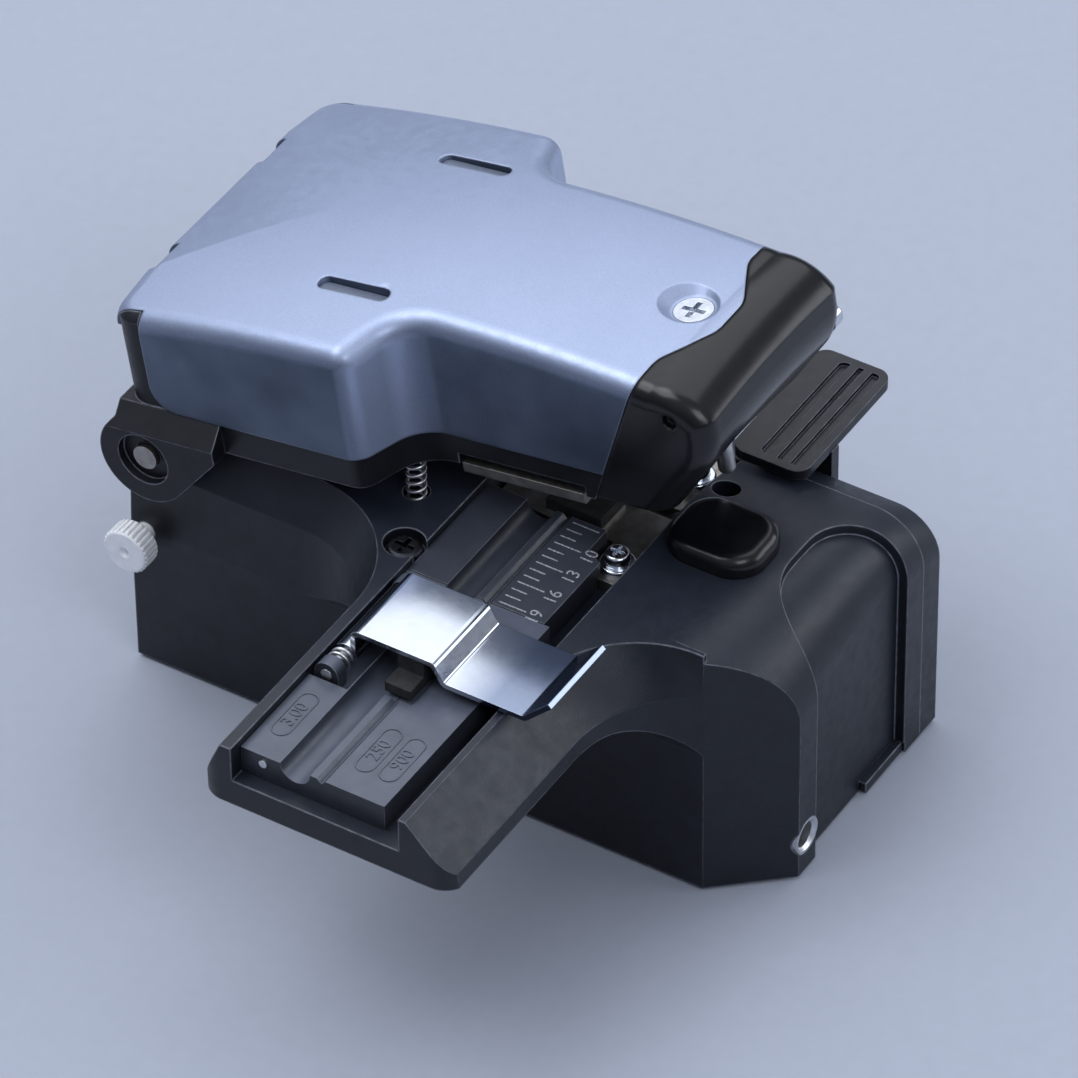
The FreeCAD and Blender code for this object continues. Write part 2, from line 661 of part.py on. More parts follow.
def housing():
    body = body_span(-LEFT, SEAM_X)
    lower = body.common(block(-2 * LEFT, 2 * LEFT, -2 * FRONT, 2 * REAR, 0, ARCH_Z))
    upper = body.common(block(-2 * LEFT, 2 * LEFT, -2 * FRONT, 2 * REAR, ARCH_Z, TOP + EPS))
    upper = upper.fuse(arm_blank()).common(flank_envelope())
    shell = lower.fuse(upper)
    barrel = rod(BARREL_R, V(-LEFT + GAP, HINGE_Y, HINGE_Z), LEFT + SEAM_X - 2 * GAP, X_AXIS)
    saddle = block(-LEFT + GAP + FLANK_FAR, SEAM_X - GAP, HINGE_Y - BARREL_R, HINGE_Y + BARREL_R,
                   BAY_TOP, HINGE_Z)
    shell = shell.fuse(barrel).fuse(saddle)
    shell = shell.cut(front_corner(BOTTOM - EPS, TOP + EPS))
    shell = shell.cut(thumb_recess())
    shell = shell.cut(block(-ARM_REACH - EPS, CH_END, -CH_NEAR, CH_FAR, CH_FLOOR, TOP + EPS))
    shell = shell.cut(block(BAY_X0, SEAM_X + EPS, -BAY_FRONT, BAY_REAR, BOTTOM - EPS, BAY_TOP))
    roof_r = TOP - ROOF - BLADE_Z
    shell = shell.cut(blade_space(roof_r, BLADE_T / 2 + GAP))
    shell = shell.cut(bottom_pocket(PLATE_INSET, PLATE_T))
    for z in ROD_Z:
        start = V(ROD_X, -BAY_FRONT - ROD_SEAT, z)
        shell = shell.cut(rod(ROD_R + RUN, start, BAY_FRONT + BAY_REAR + 2 * ROD_SEAT, Y_AXIS))
    shell = shell.cut(rod(PIN_R, V(-LEFT - EPS, HINGE_Y, HINGE_Z), 2 * LEFT + 2 * EPS, X_AXIS))
    shell = shell.cut(rod(INSERT_R, V(INSERT_X, -FRONT - EPS, INSERT_Z), INSERT_L + EPS, Y_AXIS))
    knob = V(-LEFT - EPS, KNOB_Y, KNOB_Z)
    shell = shell.cut(rod(KNOB_SHANK_R + RUN, knob, KNOB_SHANK_L + 2 * EPS, X_AXIS))
    striker_foot = V(STRIKER_X, STRIKER_Y, BAY_TOP - EPS)
    shell = shell.cut(rod(STRIKER_HOLE_R, striker_foot, TOP - BAY_TOP + 2 * EPS, Z_AXIS))
    pocket_foot = V(SPRING_X, SPRING_Y, TOP - SPRING_POCKET)
    shell = shell.cut(rod(SPRING_BORE_R, pocket_foot, SPRING_POCKET + EPS, Z_AXIS))
    shell = shell.cut(rod(SET_R, V(SET_X, SET_Y, TOP - SET_L), SET_L + EPS, Z_AXIS))
    shell = shell.cut(rod(SET_BORE_R, V(SET_X, SET_Y, TOP - SET_BORE), SET_BORE + EPS, Z_AXIS))
    for x in CLAMP_SCREW_X:
        thread_foot = V(x, CLAMP_SCREW_Y, CH_FLOOR - CLAMP_SCREW_IN - RUN)
        shell = shell.cut(rod(SCREW_R, thread_foot, CH_DEPTH, Z_AXIS))
    tongue = block(TONGUE_X - SEAM, TONGUE_X + TONGUE_W + SEAM, -FRONT - EPS, -FRONT + PLATE_INSET + EPS,
                   BOTTOM - EPS, BOTTOM + TONGUE_T + SEAM)
    shell = shell.cut(tongue)
    for x, y in plate_screw_places():
        shell = shell.cut(rod(SCREW_R, V(x, y, BOTTOM), SCREW_L + PLATE_T, Z_AXIS))
    for y, z in cover_screw_places():
        shell = shell.cut(rod(SCREW_R, V(SEAM_X - SCREW_L, y, z), SCREW_L + EPS, X_AXIS))
    for x, y in holder_screw_places():
        shell = shell.cut(rod(SCREW_R + RUN, V(x, y, ARM_UNDER - EPS), ARM_T, Z_AXIS))
        shell = shell.cut(Part.makeCone(SCREW_HEAD + RUN, SCREW_R, SCREW_HEAD_H, V(x, y, ARM_UNDER)))
    return one_solid(shell)


def bottom_pocket(inset, depth):
    """Pocket in the housing's bottom, set in from its outline."""
    points = [(-LEFT + inset, -FRONT + CORNER_Y + inset), (-LEFT + CORNER_X + inset, -FRONT + inset),
              (SEAM_X - inset, -FRONT + inset), (SEAM_X - inset, REAR - inset), (-LEFT + inset, REAR - inset)]
    return plan(points, [0] * 5, BOTTOM - EPS, BOTTOM + depth)


def plate_screw_places():
    return [(-11.0, -16.0), (-11.0, 8.0), (-11.0, 32.5), (4.0, 33.5)]


def cover_screw_places():
    return [(-23.9, 9.2), (-23.9, 17.0), (34.5, 6.0), (34.5, 19.0)]


def holder_screw_places():
    return [(-40.5, -4.4), (-24.5, -4.4)]


def tab_screw_places():
    return [PARK_Y - 2.0, PARK_Y + 2.0]


# ================================================================ covers of the body
def side_cover():
    cover = body_span(SEAM_X, COVER_X)
    stem_half = STEM_L / 2 + GAP
    slot = block(SEAM_X - EPS, COVER_X + EPS, PARK_Y - stem_half, PARK_Y + TRAVEL + stem_half,
                 STEM_Z - GAP, STEM_Z + STEM_H + GAP)
    cover = cover.cut(slot)
    cover = cover.cut(rod(BARREL_R + SEAM, V(SEAM_X - EPS, HINGE_Y, HINGE_Z), COVER_T + 2 * EPS, X_AXIS))
    for y, z in cover_screw_places():
        hole = rod(SCREW_R + RUN, V(SEAM_X - EPS, y, z), COVER_T + 2 * EPS, X_AXIS)
        sink = Part.makeCone(SCREW_R, SCREW_HEAD + RUN, SCREW_HEAD_H, V(COVER_X - SCREW_HEAD_H, y, z), X_AXIS)
        cover = cover.cut(hole).cut(sink)
    return one_solid(cover)


def cover_screws():
    screw = countersunk(SCREW_HEAD, SCREW_R - RUN, COVER_T + SCREW_L - EPS, SCREW_HEAD_H)
    return group([place(screw, V(COVER_X, y, z), X_AXIS) for y, z in cover_screw_places()])


def bottom_plate():
    plate = bottom_pocket(PLATE_INSET + SEAM, PLATE_T)
    plate = plate.common(block(-2 * LEFT, 2 * LEFT, -2 * FRONT, 2 * REAR, BOTTOM, BOTTOM + PLATE_T))
    tongue = block(TONGUE_X, TONGUE_X + TONGUE_W, -FRONT - TONGUE_OUT + RECESS_D, -FRONT + PLATE_INSET + EPS,
                   BOTTOM, BOTTOM + TONGUE_T)
    plate = plate.fuse(tongue)
    plate = plate.cut(bottom_pocket(MAT_INSET, MAT_T - MAT_PROUD))
    for x, y in plate_screw_places():
        seat = BOTTOM + MAT_T - MAT_PROUD
        plate = plate.cut(rod(SCREW_R + RUN, V(x, y, 0), PLATE_T + 2 * EPS, Z_AXIS))
        plate = plate.cut(Part.makeCone(SCREW_HEAD + RUN, SCREW_R, SCREW_HEAD_H, V(x, y, seat)))
    return one_solid(plate)


def plate_screws():
    screw = countersunk(SCREW_HEAD, SCREW_R - RUN, SCREW_L, SCREW_HEAD_H)
    seat = BOTTOM + MAT_T - MAT_PROUD
    return group([place(screw, V(x, y, seat), V(0, 0, -1)) for x, y in plate_screw_places()])


def base_mat():
    mat = bottom_pocket(MAT_INSET + SEAM, MAT_T)
    mat = mat.common(block(-2 * LEFT, 2 * LEFT, -2 * FRONT, 2 * REAR, BOTTOM, BOTTOM + MAT_T - MAT_PROUD))
    lower = mat.copy()
    lower.translate(V(0, 0, -MAT_PROUD))
    return one_solid(mat.fuse(lower))


def threaded_insert():
    start = V(INSERT_X, -FRONT, INSERT_Z)
    sleeve = tube(INSERT_R, INSERT_BORE, start, INSERT_L - GAP, Y_AXIS)
    return sleeve.cut(Part.makeCone(INSERT_BORE + INSERT_MOUTH, INSERT_BORE, INSERT_MOUTH, start, Y_AXIS))


def thumb_screw():
    """Knurled screw on the left wall, its head standing off on a short neck."""
    x1 = -LEFT - KNOB_GAP
    head = rod(KNOB_R, V(x1 - KNOB_T, KNOB_Y, KNOB_Z), KNOB_T, X_AXIS)
    head = head.makeChamfer(KNOB_T * 0.12, [e for e in head.Edges if e.Closed and e.Length > 2 * KNOB_R])
    for tooth in range(KNOB_TEETH):
        turn = 2 * math.pi * tooth / KNOB_TEETH
        at = V(x1 - KNOB_T - EPS, KNOB_Y + KNOB_R * math.cos(turn), KNOB_Z + KNOB_R * math.sin(turn))
        head = head.cut(rod(KNOB_R * 0.07, at, KNOB_T + 2 * EPS, X_AXIS))
    head = head.cut(Part.makeCone(KNOB_R * 0.25, 0, KNOB_R * 0.25, V(x1 - KNOB_T, KNOB_Y, KNOB_Z), X_AXIS))
    neck = rod(KNOB_SHANK_R, V(x1 - EPS, KNOB_Y, KNOB_Z), KNOB_SHANK_L + KNOB_GAP, X_AXIS)
    return one_solid(head.fuse(neck))


def arm_screw():
    screw = pan_head(SET_BORE_R - GAP, SET_BORE - GAP, SET_R - RUN, SET_L - SET_BORE - GAP)
    return place(screw, V(SET_X, SET_Y, TOP - SET_BORE))


def rest_pad():
    pad = rounded_plate(REST_X0, REST_X1, REST_Y0, REST_Y1, TOP, TOP + REST_H, REST_R)
    rim = [e for e in pad.Edges if all(abs(v.Z - TOP - REST_H) < 1e-6 for v in e.Vertexes)]
    return pad.makeFillet(REST_EDGE, rim)


# ================================================================ fibre holder
def v_groove(x0, x1):
    points = [V(x0, -V_W / 2, HOLD_Z + EPS), V(x0, -V_W / 2, HOLD_Z), V(x0, 0, HOLD_Z - V_D),
              V(x0, V_W / 2, HOLD_Z), V(x0, V_W / 2, HOLD_Z + EPS)]
    return Part.Face(Part.makePolygon(points + [points[0]])).extrude(V(x1 - x0, 0, 0))


def round_groove(x0, x1):
    groove = rod(GROOVE_R, V(x0, GROOVE_Y, HOLD_Z), x1 - x0, X_AXIS)
    return groove.fuse(block(x0, x1, GROOVE_Y - GROOVE_R, GROOVE_Y + GROOVE_R, HOLD_Z, HOLD_Z + EPS))


def clip_ears():
    """Far and near ends along X of the two ears that carry the clip's pin."""
    left = CLIP_X0 - CLIP_SPRING
    right = CLIP_X0 + CLIP_W + GAP
    return [(left - CLIP_EAR, left), (right, right + CLIP_EAR)]


def fibre_holder_plate():
    x0 = -HOLD_TIP
    plate = block(x0, HOLD_END, -HOLD_NEAR, CH_FAR - RUN, CH_FLOOR, HOLD_Z)
    plate = plate.cut(round_groove(x0 - EPS, HOLD_END + EPS)).cut(v_groove(x0 - EPS, HOLD_END + EPS))
    ears = clip_ears()
    floor = CLIP_HZ - CLIP_BARREL - GAP
    plate = plate.cut(block(ears[0][0] - GAP, ears[1][1] + GAP, STRIP_Y, CH_FAR, floor, HOLD_Z + EPS))
    for ear in ears:
        cheek = block(ear[0], ear[1], CLIP_HY - CLIP_EAR_R, CLIP_HY + CLIP_EAR_R, floor - EPS, CLIP_HZ)
        cheek = cheek.fuse(rod(CLIP_EAR_R, V(ear[0], CLIP_HY, CLIP_HZ), CLIP_EAR, X_AXIS))
        plate = plate.fuse(cheek)
    bore = ears[1][1] - ears[0][0] + 2 * RUN
    plate = plate.cut(rod(CLIP_PIN_R, V(ears[0][0] - RUN, CLIP_HY, CLIP_HZ), bore, X_AXIS))
    half = PAD_W / 2 + GAP
    plate = plate.cut(block(CLIP_X0 - PAD_FOOT - GAP, CLIP_X0 + CLIP_W, -half, half,
                            HOLD_Z - GAP, HOLD_Z + EPS))
    plate = plate.cut(rod(DOWEL_R, V(x0 - EPS, DOWEL_Y, HOLD_Z - DOWEL_DROP), DOWEL_L + EPS, X_AXIS))
    for x, y in holder_screw_places():
        plate = plate.cut(rod(SCREW_R, V(x, y, CH_FLOOR - EPS), HOLD_T * 0.7 + EPS, Z_AXIS))
    return one_solid(plate)


def ruler_plate():
    x0 = HOLD_END + SEAM
    plate = block(x0, RULE_END, -RULE_NEAR, CH_FAR - RUN, CH_FLOOR, HOLD_Z)
    plate = plate.cut(block(RULE_STEP, RULE_END + EPS, -CH_NEAR, LUG_Y + GAP, CH_FLOOR - EPS, HOLD_Z + EPS))
    under = block(LUG_X - GAP, RULE_END + EPS, -CH_NEAR, LUG_Y + GAP, CH_FLOOR - EPS, CH_FLOOR + BASE_T + GAP)
    head = rod(SCREW_HEAD + GAP, V(CLAMP_SCREW_X[0], CLAMP_SCREW_Y, CH_FLOOR - EPS), 2 * HOLD_T, Z_AXIS)
    plate = plate.cut(under).cut(head)
    plate = plate.cut(round_groove(x0 - EPS, RULE_END + EPS))
    return one_solid(plate.cut(v_groove(x0 - EPS, RULE_END + EPS)))


def holder_screws():
    length = CH_FLOOR - ARM_UNDER + HOLD_T * 0.6
    screw = countersunk(SCREW_HEAD, SCREW_R - RUN, length, SCREW_HEAD_H)
    return group([place(screw, V(x, y, ARM_UNDER), V(0, 0, -1)) for x, y in holder_screw_places()])


def holder_dowel():
    return rod(DOWEL_R, V(-HOLD_TIP - DOWEL_OUT, DOWEL_Y, HOLD_Z - DOWEL_DROP), DOWEL_L + DOWEL_OUT, X_AXIS)


def clip_pin():
    ears = clip_ears()
    return rod(CLIP_PIN_R, V(ears[0][0] - RUN, CLIP_HY, CLIP_HZ), ears[1][1] - ears[0][0] + 2 * RUN, X_AXIS)


def clip_spring():
    start = V(CLIP_X0 - CLIP_SPRING + GAP, CLIP_HY, CLIP_HZ)
    radius = CLIP_PIN_R + 2 * CLIP_WIRE
    return coil(radius, CLIP_WIRE, 3.5 * CLIP_WIRE, CLIP_SPRING - 2 * GAP, start, X_AXIS)


def fibre_clip():
    """Sprung sheet clip, one bent strip with a rolled eye and a lifting lip."""
    t = CLIP_T
    wall = CLIP_HY - CLIP_BARREL + CLIP_LEG_IN
    bend = CLIP_BEND
    leg = CLIP_HZ + CLIP_LEG_UP
    outer = [(wall + t, leg), (wall + t, CLIP_TOP), (CLIP_STEP, CLIP_TOP), (CLIP_STEP - CLIP_RUN, CLIP_LOW),
             (bend, CLIP_LOW), (bend - CLIP_LIP, CLIP_LOW + CLIP_LIP)]
    inner = [(bend - CLIP_LIP - 0.7 * t, CLIP_LOW + CLIP_LIP - 0.7 * t), (bend - 0.4 * t, CLIP_LOW - t),
             (CLIP_STEP - CLIP_RUN + 0.56 * t, CLIP_LOW - t), (CLIP_STEP + 0.56 * t, CLIP_TOP - t),
             (wall, CLIP_TOP - t),
             (wall, leg)]
    radii = [0, 0.9, 0.7, 0.35, 0.4, 0, 0, 0.7, 0.8, 0.25, 0.4, 0]
    strip = side(outer + inner, radii, CLIP_X0, CLIP_X0 + CLIP_W)
    eye = tube(CLIP_BARREL, CLIP_PIN_R + RUN, V(CLIP_X0, CLIP_HY, CLIP_HZ), CLIP_W, X_AXIS)
    return one_solid(eye.fuse(strip))


def clip_pad():
    half = PAD_W / 2
    low = HOLD_Z + PAD_GAP
    x1 = CLIP_X0 + CLIP_W - PAD_GAP
    body = block(CLIP_X0 + PAD_GAP, x1, -half, half, low, CLIP_TOP - CLIP_T)
    foot = block(CLIP_X0 - PAD_FOOT, x1, -half, half, low, low + CLIP_T * 2)
    return one_solid(body.fuse(foot))


# ================================================================ clamps of the body
def lower_clamp_base():
    plate = block(BASE_X0, BASE_X1, -BASE_NEAR, BASE_FAR, CH_FLOOR, CH_FLOOR + BASE_T)
    lug = block(LUG_X, BASE_X0 + EPS, -BASE_NEAR, LUG_Y, CH_FLOOR, CH_FLOOR + BASE_T)
    plate = plate.fuse(lug)
    for x0, x1 in ((-PAD_OUT, -PAD_IN), (PAD_IN, BASE_X1 - GAP)):
        plate = plate.fuse(block(x0, x1, -PAD_HALF_Y, PAD_HALF_Y, CH_FLOOR, PAD_TOP - BASE_T))
    plate = plate.cut(blade_space(TOP - ROOF - BLADE_Z, BLADE_T / 2 + GAP))
    for x in CLAMP_SCREW_X:
        plate = plate.cut(rod(SCREW_R, V(x, CLAMP_SCREW_Y, CH_FLOOR - EPS), 2 * BASE_T, Z_AXIS))
    return group([plate])


def lower_clamp_pads():
    pads = []
    for x0, x1 in ((-PAD_OUT, -PAD_IN), (PAD_IN, BASE_X1 - GAP)):
        pads.append(block(x0, x1, -PAD_HALF_Y, PAD_HALF_Y, PAD_TOP - BASE_T, PAD_TOP))
    return group(pads)


def clamp_screws():
    screw = collar_screw(SCREW_HEAD, COLLAR_H, COLLAR_HEAD_R, COLLAR_HEAD_H, SCREW_R - RUN,
                         BASE_T + CLAMP_SCREW_IN)
    return group([place(screw, V(x, CLAMP_SCREW_Y, CH_FLOOR + BASE_T)) for x in CLAMP_SCREW_X])


# ================================================================ blade slide
def slide_rods():
    length = BAY_FRONT + BAY_REAR + 2 * ROD_SEAT - 2 * RUN
    return group([rod(ROD_R, V(ROD_X, -BAY_FRONT - ROD_SEAT + RUN, z), length, Y_AXIS) for z in ROD_Z])


def bush_shapes(bore):
    """Sleeves at both ends of the carriage on each rod, or their seats when bore is 0."""
    shapes = []
    for z in ROD_Z:
        for y in (PARK_Y - CARR_L / 2, PARK_Y + CARR_L / 2 - BUSH_L):
            sleeve = rod(BUSH_R, V(ROD_X, y, z), BUSH_L, Y_AXIS)
            if bore > 0:
                sleeve = sleeve.cut(rod(bore, V(ROD_X, y - EPS, z), BUSH_L + 2 * EPS, Y_AXIS))
            shapes.append(sleeve)
    return shapes


def carriage_bushes():
    return group(bush_shapes(ROD_R + RUN))


def blade_carriage():
    block_y = CARR_L / 2
    body = block(CARR_X0, CARR_X1, PARK_Y - block_y, PARK_Y + block_y, CARR_Z0, CARR_Z1)
    boss = rod(HUB_R * 0.6, V(BLADE_T / 2 + RUN, PARK_Y, BLADE_Z), CARR_X0, X_AXIS)
    body = body.fuse(boss)
    for z in ROD_Z:
        body = body.cut(rod(ROD_R + GAP, V(ROD_X, PARK_Y - CARR_L, z), 2 * CARR_L, Y_AXIS))
    body = body.cut(Part.makeCompound(bush_shapes(0)))
    body = body.cut(rod(AXLE_R, V(0, PARK_Y, BLADE_Z), AXLE_L + EPS, X_AXIS))
    for y in tab_screw_places():
        body = body.cut(rod(SCREW_R, V(CARR_X1 - SCREW_L, y, STEM_Z + STEM_H / 2), SCREW_L + EPS, X_AXIS))
    return one_solid(body)


def blade_disc():
    disc = rod(BLADE_R, V(-BLADE_T / 2, PARK_Y, BLADE_Z), BLADE_T, X_AXIS)
    rims = [e for e in disc.Edges if e.Closed and e.Length > BLADE_R]
    disc = disc.makeChamfer(BLADE_T * 0.35, rims)
    return disc.cut(rod(AXLE_R + RUN, V(-BLADE_T, PARK_Y, BLADE_Z), 2 * BLADE_T, X_AXIS))


def blade_axle():
    """Shoulder screw that carries the blade."""
    head_x = -BLADE_T / 2 - RUN
    head = rod(HUB_R * 0.6, V(head_x - HUB_T, PARK_Y, BLADE_Z), HUB_T, X_AXIS)
    slot = block(head_x - HUB_T - EPS, head_x - HUB_T / 2, PARK_Y - HUB_R, PARK_Y + HUB_R,
                 BLADE_Z - AXLE_R * 0.2, BLADE_Z + AXLE_R * 0.2)
    shank = rod(AXLE_R, V(head_x, PARK_Y, BLADE_Z), AXLE_L - head_x, X_AXIS)
    return one_solid(head.cut(slot).fuse(shank))


def thumb_tab():
    """Ribbed tab over the housing's edge, its stem and foot in one piece."""
    y0 = PARK_Y - TAB_NEAR
    y1 = PARK_Y + TAB_FAR
    x1 = TAB_X0 + TAB_L
    low = TAB_TOP - TAB_RIB - TAB_T
    tab = rounded_plate(TAB_X0, x1, y0, y1, low, TAB_TOP, TAB_R)
    room = y1 - TAB_PLAIN - y0 - TAB_RIM
    inner = rounded_plate(TAB_X0 + TAB_RIM, x1 - TAB_RIM, y0 + TAB_RIM, y1 - TAB_PLAIN,
                          TAB_TOP - TAB_RIB, TAB_TOP + EPS, TAB_R - TAB_RIM)
    pitch = room / (TAB_RIBS + 1)
    for count in range(TAB_RIBS):
        centre = y0 + TAB_RIM + pitch * (count + 1)
        rib = block(TAB_X0, x1, centre - TAB_RIM / 2, centre + TAB_RIM / 2, low, TAB_TOP + 2 * EPS)
        inner = inner.cut(rib)
    tab = tab.cut(inner)
    stem_x = COVER_X + GAP
    stem = block(stem_x, stem_x + STEM_T, PARK_Y - STEM_L / 2, PARK_Y + STEM_L / 2, STEM_Z, low)
    foot = block(CARR_X1, stem_x + STEM_T, PARK_Y - STEM_L / 2, PARK_Y + STEM_L / 2, STEM_Z, STEM_Z + STEM_H)
    tab = tab.fuse(stem).fuse(foot)
    for y in tab_screw_places():
        tab = tab.cut(rod(SCREW_R, V(CARR_X1 - EPS, y, STEM_Z + STEM_H / 2), 2 * COVER_X, X_AXIS))
    return one_solid(tab)


def tab_screws():
    x = COVER_X + GAP + STEM_T
    screw = pan_head(STEM_H * 0.45, SCREW_HEAD_H, SCREW_R - RUN, x - CARR_X1 + SCREW_L - EPS)
    return group([place(screw, V(x, y, STEM_Z + STEM_H / 2), X_AXIS) for y in tab_screw_places()])


# ================================================================ lid, modelled closed
def swing(shape):
    """Open a closed-lid shape to the lid's rest angle."""
    shape.rotate(HINGE, X_AXIS, -LID_OPEN)
    return shape


def roof_arc():
    """Middle line of the roof from its rear edge to the nose."""
    rear = V(LID_MID, LID_REAR, ROOF_REAR)
    crest = V(LID_MID, ROOF_CREST, ROOF_TOP)
    nose = V(LID_MID, -NOSE_Y, ROOF_NOSE)
    return Part.Arc(rear, crest, nose)


def roof_height(y):
    circle = roof_arc().toShape().Curve
    return circle.Center.z + math.sqrt(circle.Radius ** 2 - (y - circle.Center.y) ** 2)


def lid_profile(inset):
    """Side outline of roof and nose, open far below and behind, set in by inset."""
    far = 4 * EAR_R
    x = LID_MID
    brow_end = V(x, -NOSE_REACH, NOSE_BULGE + NOSE_FLAT)
    chin = V(x, -NOSE_REACH, NOSE_BULGE)
    foot = V(x, -NOSE_FOOT, FRAME_Z + NOSE_LIFT)
    arc = roof_arc()
    brow_start = V(x, -NOSE_Y, ROOF_NOSE)
    brow = Part.Arc(brow_start, V(x, -NOSE_REACH + BROW_IN, ROOF_NOSE - BROW_DROP), brow_end)
    chin_end = V(x, -NOSE_REACH + CHIN_IN, NOSE_BULGE - CHIN_DROP)
    jaw = Part.Arc(chin, V(x, -NOSE_REACH + CHIN_IN * 0.28, NOSE_BULGE - CHIN_DROP * 0.52), chin_end)
    down = (foot - chin_end).normalize() * far
    rear = V(x, LID_REAR, ROOF_REAR)
    corners = [rear, rear + V(0, far, -WALL), V(x, LID_REAR + far, FRAME_Z - far), foot + down]
    edges = [arc.toShape(), brow.toShape(), Part.LineSegment(brow_end, chin).toShape(), jaw.toShape()]
    edges.append(Part.LineSegment(chin_end, foot + down).toShape())
    edges += [Part.LineSegment(a, b).toShape() for a, b in zip(corners, corners[1:])]
    wire = Part.Wire(Part.__sortEdges__(edges))
    return facing(shrunk(wire, inset), X_AXIS)


def lid_plan(inset, z0, z1):
    """Outline from above, wide over the hinge and narrow towards the nose."""
    left = LID_MID - HALF_WIDE
    right = LID_MID + HALF_WIDE
    near = LID_MID - HALF_NARROW
    far = LID_MID + HALF_NARROW
    tip = -2 * NOSE_REACH
    step = LID_WIDE_FRONT - LID_STEP
    points = [(left, LID_REAR), (left, LID_WIDE_FRONT), (near, step), (near, tip),
              (far, tip), (far, step), (right, LID_WIDE_FRONT), (right, LID_REAR)]
    radii = [REAR_R, SHOULDER_R, HOLLOW_R, 0, 0, HOLLOW_R, SHOULDER_R, REAR_R]
    wire = round_wire([V(x, y, z0) for x, y in points], radii)
    return facing(shrunk(wire, inset), Z_AXIS).extrude(V(0, 0, z1 - z0))


def above_rear(inset):
    """Space above the tighter curve in which the roof falls to its rear edge."""
    start = V(-2 * HALF_WIDE, REAR_FALL, roof_height(REAR_FALL) - inset)
    run = LID_REAR - REAR_FALL
    drop = roof_height(LID_REAR) - REAR_LOW
    middle = V(start.x, REAR_FALL + run / 2, roof_height(REAR_FALL + run / 2) - drop / 4 - inset)
    end = V(start.x, LID_REAR, REAR_LOW - inset)
    beyond = end + (end - middle)
    high = 2 * ROOF_TOP
    edges = [Part.Arc(start, middle, end), Part.LineSegment(end, beyond),
             Part.LineSegment(beyond, V(start.x, beyond.y, high)),
             Part.LineSegment(V(start.x, beyond.y, high), V(start.x, start.y, high)),
             Part.LineSegment(V(start.x, start.y, high), start)]
    wire = Part.Wire([edge.toShape() for edge in edges])
    return facing(wire, X_AXIS).extrude(V(4 * HALF_WIDE, 0, 0))


def lid_volume(inset):
    """Lid from its frame's bottom to the roof, nose included, set in by inset."""
    profile = lid_profile(inset)
    centre = V(LID_MID, 0, ROOF_TOP - ROOF_CROWN)
    sweep = 40
    profile.rotate(centre, Y_AXIS, -sweep / 2)
    crowned = profile.revolve(centre, Y_AXIS, sweep)
    return crowned.common(lid_plan(inset, FRAME_Z, 2 * ROOF_TOP)).cut(above_rear(inset))


def nose_space(shift):
    """Everything in front of the slanting, wavy seam between cover and nose cap."""
    z = 2 * ROOF_TOP - FRAME_TOP
    lean = SEAM_SLANT / (ROOF_TOP - FRAME_TOP)
    back = shift - lean * (z - ROOF_TOP)
    side_y = -SIDE_SEAM + back
    mid_y = -MID_SEAM + back
    reach = 2 * HALF_WIDE
    points = [(LID_MID - reach, side_y), (LID_MID - WAVE_OUT, side_y), (LID_MID - WAVE_IN, mid_y),
              (LID_MID + WAVE_IN, mid_y), (LID_MID + WAVE_OUT, side_y), (LID_MID + reach, side_y),
              (LID_MID + reach, side_y - reach), (LID_MID - reach, side_y - reach)]
    wire = round_wire([V(x, y, z) for x, y in points], [0, WAVE_R, WAVE_R, WAVE_R, WAVE_R, 0, 0, 0])
    drop = z - FRAME_Z + WALL
    return Part.Face(wire).extrude(V(0, lean * drop, -drop))


def rounded_lid():
    """Outer volume with the roof's and the nose's side edges rounded."""
    lid = lid_volume(0)
    edges = []
    for edge in lid.Edges:
        middle = edge.valueAt((edge.FirstParameter + edge.LastParameter) / 2)
        ends = [vertex.Point for vertex in edge.Vertexes]
        upright = max(abs(end.x - middle.x) + abs(end.y - middle.y) for end in ends) < 1e-3
        high = middle.z > REAR_LOW - 2 * ROOF_EDGE
        inland = REAR_FALL - 1 < middle.y < LID_REAR - 1 and abs(middle.x - LID_MID) < HALF_WIDE - 1
        nose = middle.y < -NOSE_FOOT and abs(middle.x - LID_MID) > HALF_NARROW - 1e-3
        low = min(end.z for end in ends) < FRAME_Z + 1e-3 and max(end.z for end in ends) < FRAME_TOP
        across = abs(middle.x - LID_MID) < HALF_NARROW / 2 and abs(ends[0].x - ends[-1].x) > HALF_NARROW
        if inland or (across and middle.y < 0):
            continue
        if (high and not upright) or (nose and not low):
            edges.append(edge)
    return lid.makeFillet(ROOF_EDGE, edges)


def front_zone(shift):
    """Space over the frame and in front of the rear seam, moved back by shift."""
    far = 2 * REAR
    y = REAR_SEAM + shift
    points = [(-far, FRAME_TOP), (y, FRAME_TOP), (y, 2 * ROOF_TOP), (-far, 2 * ROOF_TOP)]
    return side(points, [0, REAR_SEAM_R, 0, 0], -far, far)


def rear_sheet(outer, grow):
    """Part of the roof that runs on over the rear wall, with room of grow about it."""
    half = HALF_WIDE - REAR_SIDE + grow
    region = block(LID_MID - half, LID_MID + half, REAR_SEAM - 2 * SEAM, LID_REAR + EPS,
                   REAR_LOW - REAR_LIP - grow, 2 * ROOF_TOP)
    return outer.cut(lid_volume(REAR_SHEET + grow)).common(region)


